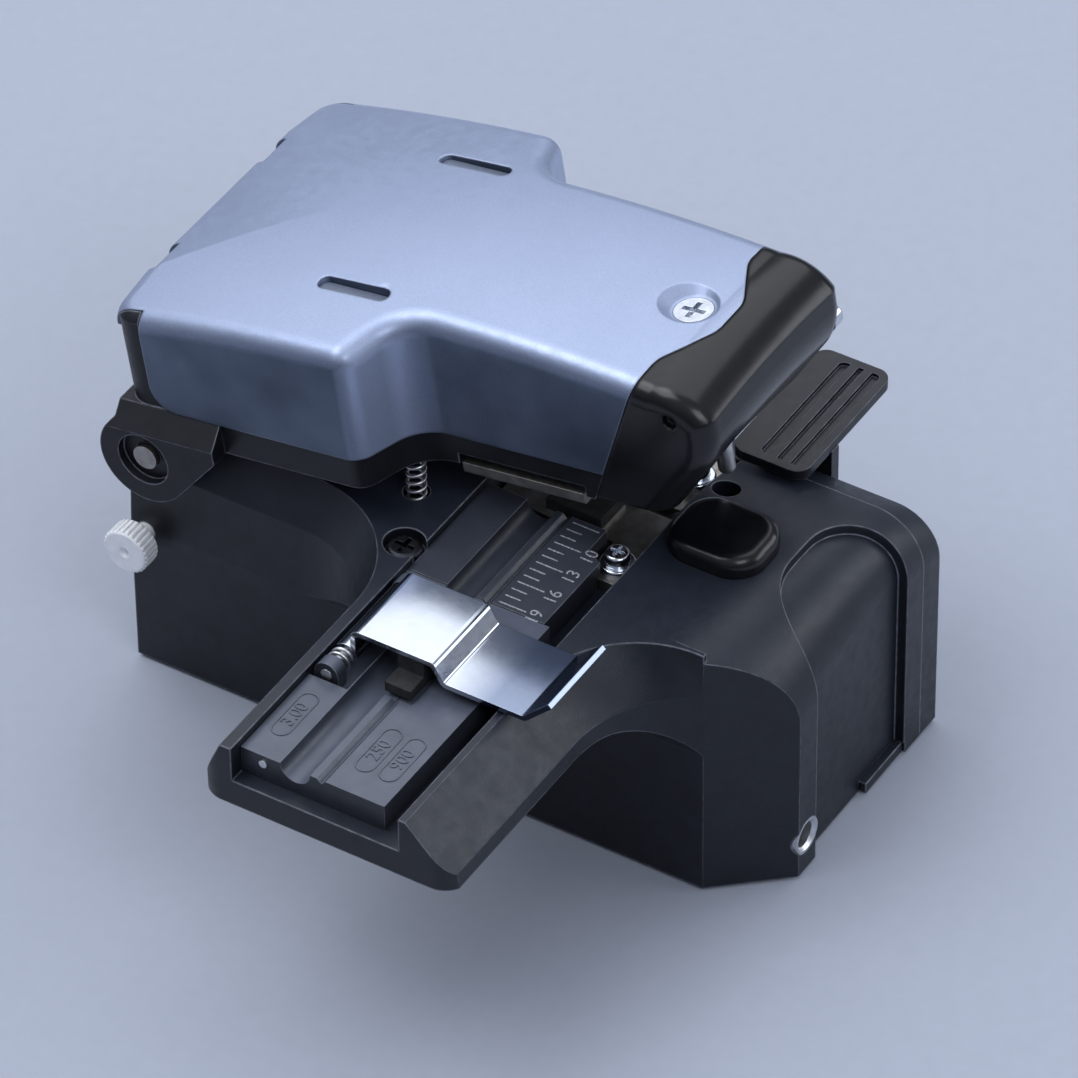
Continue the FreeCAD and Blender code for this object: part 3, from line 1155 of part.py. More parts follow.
def lid_cover(outer):
    """Painted shell from the frame up, with its slots, notches and screw dish."""
    shell = outer.cut(lid_volume(WALL)).common(front_zone(-SEAM)).fuse(rear_sheet(outer, 0))
    shell = shell.cut(nose_space(SEAM))
    for x in (LID_MID - SLOT_X, LID_MID + SLOT_X):
        half = SLOT_W / 2
        slot = rounded_plate(x - half, x + half, SLOT_Y0, SLOT_Y1, ROOF_TOP - 3 * WALL, 2 * ROOF_TOP,
                             half - EPS / 10)
        shell = shell.cut(slot)
    for x in NOTCH_X:
        shell = shell.cut(block(x, x + NOTCH_W, LID_REAR - NOTCH_D, LID_REAR + EPS, FRAME_TOP, 2 * ROOF_TOP))
    seat = roof_height(LID_SCREW_Y) - DISH_D
    floor = V(LID_MID, LID_SCREW_Y, seat)
    shell = shell.cut(Part.makeCone(DISH_R, 2 * DISH_RIM - DISH_R, 2 * DISH_D, floor))
    shell = shell.cut(rod(SCREW_R + RUN, floor - Z_AXIS * 2 * WALL, 2 * WALL + EPS, Z_AXIS))
    shell = shell.cut(Part.makeCone(SCREW_R, LID_SCREW_R + RUN, SCREW_HEAD_H, floor - Z_AXIS * SCREW_HEAD_H))
    return one_solid(shell)


def lid_screw():
    seat = roof_height(LID_SCREW_Y) - DISH_D
    screw = countersunk(LID_SCREW_R, SCREW_R - RUN, 2 * SCREW_L, SCREW_HEAD_H)
    return place(screw, V(LID_MID, LID_SCREW_Y, seat))


def tongue_top():
    return roof_height(LID_SCREW_Y) - WALL - RUN


def pad_room():
    """Room in the nose's lower edge for the rest pad."""
    return block(REST_X0 - GAP, REST_X1 + GAP, REST_Y0 - GAP, REST_Y1 + GAP, TOP, TOP + REST_H + GAP)


def nose_cap(outer):
    """Glossy shell in front of the seam, with a tongue under the cover for the lid screw."""
    cap = outer.common(nose_space(0)).cut(lid_volume(WALL))
    cap = cap.cut(block(-4 * LEFT, 4 * LEFT, -2 * REAR, 2 * REAR, 0, FRAME_Z + NOSE_LIFT))
    top = tongue_top() - TONGUE_DROP
    tongue = block(LID_MID - TONGUE_HALF, LID_MID + TONGUE_HALF, -NOSE_REACH + WALL, LID_SCREW_Y + DISH_R,
                   top - WALL, top)
    root = tongue.common(nose_space(0)).common(lid_volume(WALL / 2))
    cap = cap.fuse(tongue.common(lid_volume(WALL + SEAM))).fuse(root)
    cap = cap.cut(rod(SCREW_R + RUN, V(LID_MID, LID_SCREW_Y, top - 2 * WALL), 3 * WALL, Z_AXIS))
    wall_x = LID_MID + HALF_NARROW - WALL
    boss = rod(LOCK_BOSS, V(wall_x - LOCK_BOSS_L, LOCK_Y, LOCK_Z), LOCK_BOSS_L + WALL / 2, X_AXIS)
    cap = cap.fuse(boss.common(lid_volume(WALL / 2)))
    cap = cap.cut(rod(LOCK_R + RUN, V(wall_x - 2 * LOCK_BOSS_L, LOCK_Y, LOCK_Z), 4 * LOCK_BOSS_L, X_AXIS))
    cap = cap.cut(pad_room())
    dimple = V(LID_MID - HALF_NARROW - EPS, DIMPLE_Y, DIMPLE_Z)
    return one_solid(cap.cut(rod(DIMPLE_R, dimple, DIMPLE_D + EPS, X_AXIS)))


def lock_pin():
    """Press pin in the nose cap's far side."""
    wall_x = LID_MID + HALF_NARROW
    head = rod(LOCK_HEAD_R, V(wall_x + LOCK_TRAVEL + GAP, LOCK_Y, LOCK_Z), LOCK_HEAD, X_AXIS)
    head = head.makeFillet(LOCK_HEAD * 0.2, [head.Edges[0]])
    shank_x = wall_x - WALL - LOCK_BOSS_L + LOCK_TRAVEL
    shank = rod(LOCK_R, V(shank_x, LOCK_Y, LOCK_Z), wall_x + LOCK_TRAVEL + 2 * GAP - shank_x, X_AXIS)
    return one_solid(head.fuse(shank))


def hinge_ear(x0, x1, reach_x):
    """Ear round the hinge pin, hung from the deck, which its upper end meets as far as reach_x."""
    disc = rod(EAR_R, V(x0, HINGE_Y, HINGE_Z), x1 - x0, X_AXIS)
    slope = math.radians(EAR_SLOPE)
    touch_y = HINGE_Y - EAR_R * math.sin(slope)
    touch_z = HINGE_Z - EAR_R * math.cos(slope)
    front = touch_y - (FRAME_Z - touch_z) / math.tan(slope)
    web = side([(LID_REAR, HINGE_Z), (LID_REAR, FRAME_TOP), (front, FRAME_TOP), (front, FRAME_Z),
                (touch_y, touch_z), (HINGE_Y, HINGE_Z)], [0] * 6, x0, x1)
    foot = block(min(x0, reach_x), max(x1, reach_x), HINGE_Y - EAR_R, LID_REAR, DECK_Z, FRAME_TOP)
    return disc.fuse(web).fuse(foot)


def rear_wall(outer):
    """Rear wall of the lid, closed at the sides and under the roof's rear edge."""
    far = 2 * REAR
    wall = outer.common(block(-far, far, REAR_SEAM - REAR_SEAM_R, far, DECK_Z, 2 * ROOF_TOP))
    wall = wall.common(lid_plan(FRAME_IN, FRAME_Z, 2 * ROOF_TOP)).cut(lid_volume(REAR_WALL))
    return wall.cut(front_zone(0)).cut(rear_sheet(outer, SEAM))


def lid_frame(outer):
    """Black frame of the lid: skirt, deck, rear wall, ears, screw post and guide bores."""
    outline = lid_plan(FRAME_IN, FRAME_Z, FRAME_TOP).cut(nose_space(SEAM))
    cavity = lid_plan(FRAME_IN + WALL, FRAME_Z - EPS, DECK_Z)
    frame = outline.cut(cavity)
    over = block(-2 * LEFT, 2 * LEFT, HINGE_Y - EAR_R, 2 * REAR, 0, DECK_Z)
    frame = frame.cut(over)
    half = HALF_NARROW - 2 * WALL
    frame = frame.fuse(block(LID_MID - half, LID_MID + half, -DECK_REACH, 0, DECK_Z, FRAME_TOP))
    frame = frame.fuse(rear_wall(outer))
    side_x = LID_MID - HALF_NARROW
    frame = frame.cut(block(side_x - EPS, side_x + FRAME_IN + WALL, BAR_NEAR - GAP, BAR_FAR + GAP,
                            FRAME_Z - EPS, BAR_Z + BAR_H + BAR_RISE + GAP))
    near_x = -LEFT - EAR_GAP
    frame = frame.fuse(hinge_ear(near_x - EAR_T, near_x, near_x + 2 * WALL))
    outside = near_x - EAR_T
    bevel = Part.makePolygon([V(outside - EPS, 0, FRAME_TOP - EAR_FALL), V(outside, 0, FRAME_TOP - EAR_FALL),
                              V(near_x, 0, FRAME_TOP), V(near_x, 0, FRAME_TOP + EPS),
                              V(outside - EPS, 0, FRAME_TOP + EPS),
                              V(outside - EPS, 0, FRAME_TOP - EAR_FALL)])
    frame = frame.cut(Part.Face(bevel).extrude(V(0, 2 * REAR, 0)))
    far_x = COVER_X + GAP
    frame = frame.fuse(hinge_ear(far_x, far_x + EAR_T, far_x))
    frame = frame.cut(rod(EAR_DISH_R, V(near_x - EAR_T - EPS, HINGE_Y, HINGE_Z), EAR_DISH + EPS, X_AXIS))
    frame = frame.cut(rod(PIN_R + RUN, V(near_x - 2 * EAR_T, HINGE_Y, HINGE_Z), 3 * LEFT, X_AXIS))
    top = tongue_top() - TONGUE_DROP - WALL
    frame = frame.fuse(rod(POST_R, V(LID_MID, LID_SCREW_Y, DECK_Z), top - DECK_Z, Z_AXIS))
    frame = frame.fuse(rod(SPRING_BORE_R, V(SPRING_X, SPRING_Y, FRAME_Z), FRAME_H, Z_AXIS))
    depth = 2 * SCREW_L + EPS
    seat = roof_height(LID_SCREW_Y) - DISH_D
    frame = frame.cut(rod(SCREW_R, V(LID_MID, LID_SCREW_Y, seat - depth), depth, Z_AXIS))
    frame = frame.cut(rod(STRIKER_R, V(STRIKER_X, STRIKER_Y, DECK_Z - EPS), STRIKER_SEAT + EPS, Z_AXIS))
    for x, y in guide_places():
        frame = frame.cut(rod(GUIDE_R + RUN, V(x, y, DECK_Z - EPS), DECK_T + 2 * EPS, Z_AXIS))
    return one_solid(frame.cut(rod(STEM_R + RUN, V(0, 0, DECK_Z - EPS), DECK_T + 2 * EPS, Z_AXIS)))


def striker_pin():
    pin = rod(STRIKER_R, V(STRIKER_X, STRIKER_Y, STRIKER_TIP), DECK_Z + STRIKER_SEAT - STRIKER_TIP, Z_AXIS)
    tip = [edge for edge in pin.Edges if edge.Closed and abs(edge.Vertexes[0].Z - STRIKER_TIP) < 1e-6]
    return pin.makeFillet(STRIKER_R * 0.6, tip)


# ================================================================ clamps of the lid
def guide_places():
    return [(x, y) for x in (-GUIDE_X, GUIDE_X) for y in GUIDE_Y]


def upper_clamp():
    """Steel plate with an arm on either side of the blade and a bar along its left edge."""
    z1 = UPPER_Z + UPPER_T
    plate = rounded_plate(-UPPER_OUT, UPPER_OUT, -UPPER_NEAR, UPPER_FAR, UPPER_Z, z1, 2 * UPPER_T)
    plate = plate.cut(block(-UPPER_IN, UPPER_IN, -2 * UPPER_NEAR, UPPER_BRIDGE, UPPER_Z - EPS, z1 + EPS))
    bar_x = LID_MID - HALF_NARROW + FRAME_IN
    bar = block(bar_x, -UPPER_OUT + GAP / 2, BAR_NEAR, BAR_FAR, BAR_Z, BAR_Z + BAR_H)
    edges = [e for e in bar.Edges if all(abs(v.X - bar_x) < 1e-6 and v.Z < BAR_Z + 1e-6 for v in e.Vertexes)]
    return one_solid(plate.fuse(bar.makeFillet(BAR_H * 0.3, edges)))


def upper_clamp_pads():
    pads = []
    for x0, x1 in ((-UPPER_OUT + GAP, -UPPER_IN - GAP), (UPPER_IN + GAP, UPPER_OUT - GAP)):
        pads.append(block(x0, x1, -PAD_HALF_Y, PAD_HALF_Y, PAD_TOP + GAP, UPPER_Z))
    return group(pads)


def clamp_guide_pins():
    pins = []
    for x, y in guide_places():
        shank = rod(GUIDE_R, V(x, y, UPPER_Z + UPPER_T), FRAME_TOP - UPPER_Z - UPPER_T + RUN, Z_AXIS)
        pins.append(one_solid(shank.fuse(rod(GUIDE_HEAD_R, V(x, y, FRAME_TOP + RUN), GUIDE_R, Z_AXIS))))
    return group(pins)


def clamp_springs():
    low = UPPER_Z + UPPER_T + SPRING_WIRE
    height = DECK_Z - low - SPRING_WIRE
    turns = 3
    return group([coil(GUIDE_R + 2 * SPRING_WIRE, SPRING_WIRE, height / turns, height, V(x, y, low), Z_AXIS)
                  for x, y in guide_places()])


def anvil():
    return block(-ANVIL_HALF, ANVIL_HALF, -ANVIL_Y, ANVIL_Y, ANVIL_Z, HOLDER_Z)


def anvil_holder():
    holder = block(-HOLDER_HALF, HOLDER_HALF, -HOLDER_Y, HOLDER_Y, HOLDER_Z, HOLDER_Z + HOLDER_H)
    stem = rod(STEM_R, V(0, 0, HOLDER_Z), FRAME_TOP + RUN - HOLDER_Z, Z_AXIS)
    head = rod(STEM_HEAD, V(0, 0, FRAME_TOP + RUN), STEM_R, Z_AXIS)
    return one_solid(holder.fuse(stem).fuse(head))


def lid_spring():
    """Compression spring that keeps the lid ajar."""
    under = V(SPRING_X, SPRING_Y, FRAME_Z)
    rise = FreeCAD.Rotation(X_AXIS, -LID_OPEN).multVec(under - HINGE) + HINGE
    low = TOP - SPRING_POCKET + SPRING_WIRE
    slope = SPRING_R * math.sin(math.radians(LID_OPEN))
    height = rise.z - slope - 2 * SPRING_WIRE - low
    return coil(SPRING_R, SPRING_WIRE, SPRING_PITCH, height, V(SPRING_X, SPRING_Y, low), Z_AXIS)


def hinge_pin():
    x0 = -LEFT - EAR_GAP - EAR_T + GAP
    return rod(PIN_R, V(x0, HINGE_Y, HINGE_Z), COVER_X + GAP + EAR_T - x0, X_AXIS)


# ================================================================ output
def build():
    write("base_housing", housing())
    write("side_cover", side_cover())
    write("side_cover_screws", cover_screws())
    write("bottom_plate", bottom_plate())
    write("bottom_plate_screws", plate_screws())
    write("base_mat", base_mat())
    write("threaded_insert", threaded_insert())
    write("thumb_screw", thumb_screw())
    write("arm_screw", arm_screw())
    write("rest_pad", rest_pad())
    write("fibre_holder_plate", fibre_holder_plate())
    write("ruler_plate", ruler_plate())
    write("holder_screws", holder_screws())
    write("holder_dowel", holder_dowel())
    write("clip_hinge_pin", clip_pin())
    write("clip_spring", clip_spring())
    write("fibre_clip", fibre_clip())
    write("clip_pad", clip_pad())
    write("lower_clamp_base", lower_clamp_base())
    write("lower_clamp_pads", lower_clamp_pads())
    write("clamp_screws", clamp_screws())
    write("slide_rods", slide_rods())
    write("blade_carriage", blade_carriage())
    write("carriage_bushes", carriage_bushes())
    write("blade_disc", blade_disc())
    write("blade_axle", blade_axle())
    write("thumb_tab", thumb_tab())
    write("tab_screws", tab_screws())
    write("hinge_pin", hinge_pin())
    write("lid_spring", lid_spring())
    outer = rounded_lid()
    write("lid_cover", swing(lid_cover(outer)))
    write("nose_cap", swing(nose_cap(outer)))
    write("lid_frame", swing(lid_frame(outer)))
    write("lid_screw", swing(lid_screw()))
    write("striker_pin", swing(striker_pin()))
    write("lock_pin", swing(lock_pin()))
    write("upper_clamp", swing(upper_clamp()))
    write("upper_clamp_pads", swing(upper_clamp_pads()))
    write("clamp_guide_pins", swing(clamp_guide_pins()))
    write("clamp_springs", swing(clamp_springs()))
    write("anvil", swing(anvil()))
    write("anvil_holder", swing(anvil_holder()))


build()
os.makedirs("parts", exist_ok=True)
for name, shape in nodes.items():
    shape.exportStep("parts/" + name + ".step")
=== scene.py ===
"""Looks of the fibre cleaver: materials, printed scales, floor, light and camera."""
import json
import math

import bpy
from mathutils import Matrix, Vector

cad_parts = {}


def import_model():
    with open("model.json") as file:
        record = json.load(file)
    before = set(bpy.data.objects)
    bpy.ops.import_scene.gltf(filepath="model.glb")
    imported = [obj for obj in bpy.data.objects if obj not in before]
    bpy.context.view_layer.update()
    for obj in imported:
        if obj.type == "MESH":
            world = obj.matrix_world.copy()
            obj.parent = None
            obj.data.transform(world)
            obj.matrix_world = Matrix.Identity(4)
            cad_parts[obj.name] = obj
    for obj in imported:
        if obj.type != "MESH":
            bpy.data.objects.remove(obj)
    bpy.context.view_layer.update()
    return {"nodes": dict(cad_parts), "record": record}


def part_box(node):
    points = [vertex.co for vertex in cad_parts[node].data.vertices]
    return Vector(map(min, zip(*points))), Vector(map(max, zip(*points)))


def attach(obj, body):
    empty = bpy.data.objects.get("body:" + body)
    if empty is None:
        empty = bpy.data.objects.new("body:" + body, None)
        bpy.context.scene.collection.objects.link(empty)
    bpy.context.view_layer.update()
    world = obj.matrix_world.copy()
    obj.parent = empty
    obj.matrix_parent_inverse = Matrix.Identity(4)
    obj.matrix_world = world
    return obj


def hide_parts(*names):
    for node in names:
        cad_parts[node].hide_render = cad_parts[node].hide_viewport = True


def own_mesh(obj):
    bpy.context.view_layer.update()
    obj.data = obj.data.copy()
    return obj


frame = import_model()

MM = 0.001

# -------------------------------------------------------- camera
CAM_AZIMUTH = math.radians(57.720)      # direction of view, from +Y towards +X
CAM_DROP = math.radians(41.394)
CAM_ROLL = math.radians(-0.756)
CAM_AIM = Vector((-6.8, 10.0, 20.4)) * MM
CAM_SIDE = 6.169 * MM                   # the aim point stands this far left of the axis
CAM_RISE = -0.489 * MM
CAM_DISTANCE = 729.19 * MM
CAM_LENS = 277.47
CAM_SENSOR = 36.0
CAM_CLIP = (0.01, 20.0)                 # nearest and farthest distance seen

# -------------------------------------------------------- light
SKY_LOW = (0.08, 0.09, 0.12)            # round the horizon
SKY_HIGH = (0.46, 0.49, 0.56)           # overhead
SKY_STOPS = (0.05, 0.8)                 # heights on the sky where those two tones start and end
FLOOR_COLOUR = (0.39, 0.42, 0.50)
FLOOR_SIZE = 4.0                        # metres
LAMPS = (                               # name, place, height aimed at, size, power, colour
    ("overhead", (0.40, 0.30, 0.85), 0.03, (1.3, 1.1), 5.6, (0.94, 0.965, 1.0)),
    ("behind", (-0.25, 0.38, 0.85), 0.03, (0.6, 0.5), 3.4, (0.92, 0.955, 1.0)),
    ("front", (0.50, -0.66, 0.30), 0.02, (0.8, 0.35), 2.6, (0.90, 0.94, 1.0)),
    ("near", (-0.32, -0.52, 0.66), 0.02, (0.4, 0.3), 1.5, (0.90, 0.94, 1.0)),
)

# -------------------------------------------------------- finishes
SPECK_PALER = 4                         # dust specks against the black they lie on
# tone of the worn edges, which also paints a highlight along them
EDGE_WEAR_AND_HIGHLIGHT = (0.22, 0.235, 0.28)
METAL_EDGE = 0.08                       # rounding of bare metal's edges, in millimetres

# -------------------------------------------------------- scale and size labels, mm
PLATE_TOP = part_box("ruler_plate")[1][2] / MM
RULER_TICKS = range(7, 20)              # marks at these millimetres from the cleaving point
RULER_NUMBERS = (10, 13, 16, 19)
TICK_W = 0.16
TICK_Y = -0.85                          # all ticks start at this Y
TICK_SHORT = 1.6
TICK_LONG = 2.75
TICK_BEVEL = 0.02
INK_PROUD = 0.015
NUMBER_BACK = 0.15                      # a number stands this far past its tick
NUMBER_Y = -4.55
NUMBER_SIZE = 1.75
GRIP_LABELS = (("3.00", -40.1, 6.3), ("250", -40.2, -2.2), ("900", -40.2, -4.55))
LABEL_LONG = 6.0                        # the raised outline round a size label
LABEL_WIDE = 1.9
LABEL_LINE = 0.17
LABEL_PROUD = 0.09
LABEL_SIZE = 1.75

# -------------------------------------------------------- roof's slots and upper clamp, mm, lid closed
LID_OPEN = 8.5                          # degrees, as the lid rests
HINGE_Y = 35.8
HINGE_Z = 26.6
LID_MIDDLE = 0.55
SLOT_OUT = 9.85                         # from the lid's middle to a slot's middle
SLOT_START = 13.3
SLOT_END = 20.6
SLOT_WIDE = 1.6
SLOT_FLOOR = 42.75                      # height of the strip's top
SLOT_THICK = 0.35
SLOT_PLAY = 0.02                        # gap round the strip
SLOT_BEVEL = 0.05


# ================================================================ node helpers
class Shader:
    """A principled material whose inputs are fed by procedural nodes in millimetres."""

    def __init__(self, name, **inputs):
        self.material = bpy.data.materials.new(name)
        self.material.use_nodes = True
        self.tree = self.material.node_tree
        self.bsdf = self.tree.nodes["Principled BSDF"]
        for key, value in inputs.items():
            self.bsdf.inputs[key.replace("_", " ")].default_value = value
        self.where = self.add("ShaderNodeTexCoord")
        scale = self.add("ShaderNodeMapping")
        scale.inputs["Scale"].default_value = (1 / MM, 1 / MM, 1 / MM)
        self.link(self.where.outputs["Object"], scale.inputs["Vector"])
        self.space = scale.outputs["Vector"]

    def add(self, kind, **values):
        node = self.tree.nodes.new(kind)
        for key, value in values.items():
            setattr(node, key, value)
        return node

    def link(self, source, target):
        self.tree.links.new(source, target)

    def stretched(self, scale):
        """The part's millimetres, scaled along each axis."""
        node = self.add("ShaderNodeMapping")
        node.inputs["Scale"].default_value = scale
        self.link(self.space, node.inputs["Vector"])
        return node.outputs["Vector"]

    def noise(self, scale, detail=2.0, rough=0.5, space=None):
        node = self.add("ShaderNodeTexNoise")
        node.inputs["Scale"].default_value = scale
        node.inputs["Detail"].default_value = detail
        node.inputs["Roughness"].default_value = rough
        self.link(space or self.space, node.inputs["Vector"])
        return node.outputs["Fac"]

    def cells(self, scale):
        node = self.add("ShaderNodeTexVoronoi")
        node.inputs["Scale"].default_value = scale
        self.link(self.space, node.inputs["Vector"])
        return node.outputs["Distance"]

    def spread(self, source, low, high, start=0.3, end=0.7):
        """Value between low and high as the source goes from start to end."""
        node = self.add("ShaderNodeMapRange")
        for key, value in (("From Min", start), ("From Max", end), ("To Min", low), ("To Max", high)):
            node.inputs[key].default_value = value
        self.link(source, node.inputs["Value"])
        return node.outputs["Result"]

    def mix(self, share, first, second):
        """Colour that goes from the first to the second as the share goes from 0 to 1."""
        node = self.add("ShaderNodeMix", data_type="RGBA")
        self.link(share, node.inputs["Factor"])
        for socket, value in ((node.inputs["A"], first), (node.inputs["B"], second)):
            if isinstance(value, tuple):
                socket.default_value = (*value, 1.0)
            else:
                self.link(value, socket)
        return node.outputs["Result"]

    def maths(self, operation, first, second):
        node = self.add("ShaderNodeMath", operation=operation, use_clamp=True)
        for socket, value in zip(node.inputs, (first, second)):
            if isinstance(value, float):
                socket.default_value = value
            else:
                self.link(value, socket)
        return node.outputs["Value"]

    def softened(self, radius):
        """Normal with its edges rounded over the radius."""
        node = self.add("ShaderNodeBevel", samples=8)
        node.inputs["Radius"].default_value = radius * MM
        return node.outputs["Normal"]

    def edge(self, radius, start, end):
        """0 on the flats, 1 on the edges, as the rounded normal leans away by start to end."""
        soft = self.softened(radius)
        plain = self.add("ShaderNodeNewGeometry").outputs["Normal"]
        node = self.add("ShaderNodeVectorMath", operation="DOT_PRODUCT")
        self.link(soft, node.inputs[0])
        self.link(plain, node.inputs[1])
        return self.spread(node.outputs["Value"], 1.0, 0.0, 1.0 - end, 1.0 - start)

    def upward(self, low, high, front):
        """0 on the walls, 1 on the faces that look up, front on those that look to -Y at rest."""
        split = self.add("ShaderNodeSeparateXYZ")
        self.link(self.where.outputs["Normal"], split.inputs[0])
        share = self.spread(split.outputs["Z"], 0.0, 1.0, low, high)
        forward = self.spread(split.outputs["Y"], front, 0.0, -0.85, -0.1)
        return self.maths("MAXIMUM", share, forward)

    def along(self, axis, low, high, start, end):
        """Value between low and high along one axis of the part, in millimetres."""
        split = self.add("ShaderNodeSeparateXYZ")
        self.link(self.space, split.inputs[0])
        return self.spread(split.outputs[axis], low, high, start, end)

    def bump(self, height, depth, strength, normal=None):
        """Normal with a relief of this depth in millimetres."""
        node = self.add("ShaderNodeBump")
        node.inputs["Strength"].default_value = strength
        node.inputs["Distance"].default_value = depth * MM
        self.link(height, node.inputs["Height"])
        if normal is not None:
            self.link(normal, node.inputs["Normal"])
        return node.outputs["Normal"]

    def feed(self, **sources):
        """The finished material, its shader fed from these sources."""
        for key, source in sources.items():
            self.link(source, self.bsdf.inputs[key.replace("_", " ")])
        return self.material


# ================================================================ materials
def cast_black(name, dark, light, rough, grain, edge_radius, dust_and_top_light=1.8, gloss=0.3):
    """Matte black paint over a fine cast grain; dust and painted light make the tops, and less so the
    faces towards -Y, paler; wear and painted highlights make the edges paler.
    """
    s = Shader(name, Specular_IOR_Level=gloss)
    base = s.mix(s.spread(s.noise(0.35, 3.0), 0.0, 1.0), dark, light)
    # painted light together with dust: faces that look up, and faces towards -Y at a quarter share, are
    # painted paler
    dust = s.maths("MULTIPLY", s.upward(0.25, 0.9, 0.25), s.spread(s.noise(0.5, 3.0), 0.75, 1.0))
    base = s.mix(dust, base, tuple(dust_and_top_light * c for c in light))
    specks = s.spread(s.noise(9.0, 1.0), 0.0, 0.35, 0.62, 0.75)
    base = s.mix(specks, base, tuple(SPECK_PALER * c for c in light))
    # wear together with painted highlight: the edges are painted paler in patches
    wear_and_highlight_patches = s.spread(s.noise(1.1, 4.0), 0.35, 0.9, 0.35, 0.65)
    base = s.mix(s.maths("MULTIPLY", s.edge(edge_radius, 0.012, 0.13), wear_and_highlight_patches), base, EDGE_WEAR_AND_HIGHLIGHT)
    normal = s.bump(s.noise(7.0, 3.0, 0.6), grain, 0.8, s.softened(edge_radius))
    roughness = s.spread(s.noise(0.8, 4.0), rough - 0.05, rough + 0.07)
    return s.feed(Base_Color=base, Roughness=roughness, Normal=normal)


def metallic_paint():
    """Blue grey metallic paint: fine flakes, a slight orange peel and a thin clear coat; painted light
    makes the tops and the faces towards -Y a pale lit tone, painted shade makes the walls dark, and the
    edges carry a painted highlight.
    """
    s = Shader("paint_blue_grey", Metallic=0.62, Coat_Weight=0.15, Coat_Roughness=0.25)
    flake = s.cells(11.0)
    share = s.spread(flake, 0.0, 1.0, 0.0, 0.6)
    # painted light and shade: tops and faces towards -Y take a pale lit tone, walls a dark shaded tone
    top = s.mix(share, (0.455, 0.525, 0.72), (0.345, 0.405, 0.57))
    wall = s.mix(share, (0.07, 0.095, 0.145), (0.045, 0.062, 0.098))
    tone = s.mix(s.upward(0.1, 0.85, 1.0), wall, top)
    tone = s.mix(s.spread(s.noise(0.12, 2.0), 0.0, 0.22), tone, (0.30, 0.36, 0.50))
    # painted highlight: the edges are painted a paler blue
    tone = s.mix(s.maths("MULTIPLY", s.edge(0.35, 0.01, 0.3), 0.4), tone, (0.50, 0.56, 0.68))
    normal = s.bump(s.noise(2.2, 3.0), 0.006, 0.7, s.softened(0.3))
    normal = s.bump(flake, 0.004, 0.5, normal)
    roughness = s.spread(s.noise(0.9, 3.0), 0.38, 0.46)
    return s.feed(Base_Color=tone, Roughness=roughness, Normal=normal)


def gloss_black():
    """Polished black plastic with a faint ripple and small dust marks."""
    s = Shader("nose_black", Specular_IOR_Level=0.36, Coat_Weight=0.08, Coat_Roughness=0.12)
    base = s.mix(s.spread(s.noise(0.5, 2.0), 0.0, 1.0), (0.0035, 0.004, 0.005), (0.006, 0.0065, 0.008))
    dust = s.spread(s.noise(7.0, 3.0), 0.0, 0.25, 0.70, 0.80)
    base = s.mix(dust, base, (0.05, 0.05, 0.055))
    normal = s.bump(s.noise(0.25, 1.0), 0.002, 0.3, s.softened(0.5))
    roughness = s.spread(s.noise(1.5, 3.0), 0.20, 0.25)
    return s.feed(Base_Color=base, Roughness=roughness, Normal=normal)


def bare_metal(name, low, high, rough, scratch, depth, along=(1.0, 1.0, 1.0), metallic=1.0,
               painted_shade=None, cloudy=0.12):
    """Bare metal with fine scratches and small stains; an optional place along an axis and its tone
    paint the metal darker there: painted shade that stands for a dark reflection.
    """
    s = Shader(name, Metallic=metallic)
    base = s.mix(s.spread(s.noise(0.9, 4.0), 0.0, 1.0), low, high)
    # painted shade: the metal is painted darker along the axis, standing in for a dark reflection
    if painted_shade:
        place, tone = painted_shade
        base = s.mix(s.along(*place), base, tone)
    lines = s.noise(scratch, 4.0, 0.6, s.stretched(along))
    normal = s.bump(lines, depth, 0.6, s.softened(METAL_EDGE))
    stain = s.noise(2.4, 5.0, 0.6)
    roughness = s.maths("ADD", s.spread(stain, rough, rough + cloudy), s.spread(lines, 0.0, cloudy / 2))
    return s.feed(Base_Color=base, Roughness=roughness, Normal=normal)


def rubber():
    """Dull black rubber with a fine grain."""
    s = Shader("rubber_black", Specular_IOR_Level=0.35)
    base = s.mix(s.spread(s.noise(1.3, 4.0), 0.0, 1.0), (0.016, 0.016, 0.017), (0.030, 0.030, 0.032))
    normal = s.bump(s.noise(5.0, 3.0), 0.012, 0.8, s.softened(0.15))
    return s.feed(Base_Color=base, Roughness=s.spread(s.noise(2.0, 3.0), 0.62, 0.78), Normal=normal)


def printed_ink(name, colour, fade):
    """Thin printed or filled marks, slightly worn."""
    s = Shader(name, Specular_IOR_Level=0.3)
    worn = s.spread(s.noise(5.0, 4.0, 0.6), 0.0, 1.0, 0.42, 0.62)
    base = s.mix(worn, colour, fade)
    normal = s.bump(s.noise(12.0, 2.0), 0.004, 0.6)
    return s.feed(Base_Color=base, Roughness=s.spread(worn, 0.5, 0.7), Normal=normal)


BODY = cast_black("body_black", (0.0035, 0.0045, 0.007), (0.007, 0.009, 0.014),
                  rough=0.38, grain=0.026, edge_radius=0.28, dust_and_top_light=2.4, gloss=0.38)
FRAME = cast_black("frame_black", (0.004, 0.0045, 0.006), (0.007, 0.008, 0.011),
                   rough=0.38, grain=0.010, edge_radius=0.25)
TAB = cast_black("tab_black", (0.005, 0.006, 0.008), (0.010, 0.011, 0.014),
                 rough=0.34, grain=0.006, edge_radius=0.15)
PLATE = cast_black("plate_black", (0.014, 0.016, 0.022), (0.022, 0.025, 0.034),
                   rough=0.36, grain=0.006, edge_radius=0.12, dust_and_top_light=4.2, gloss=0.5)
RULER = cast_black("ruler_black", (0.009, 0.010, 0.014), (0.014, 0.016, 0.022),
                   rough=0.38, grain=0.006, edge_radius=0.12, dust_and_top_light=3.0, gloss=0.5)
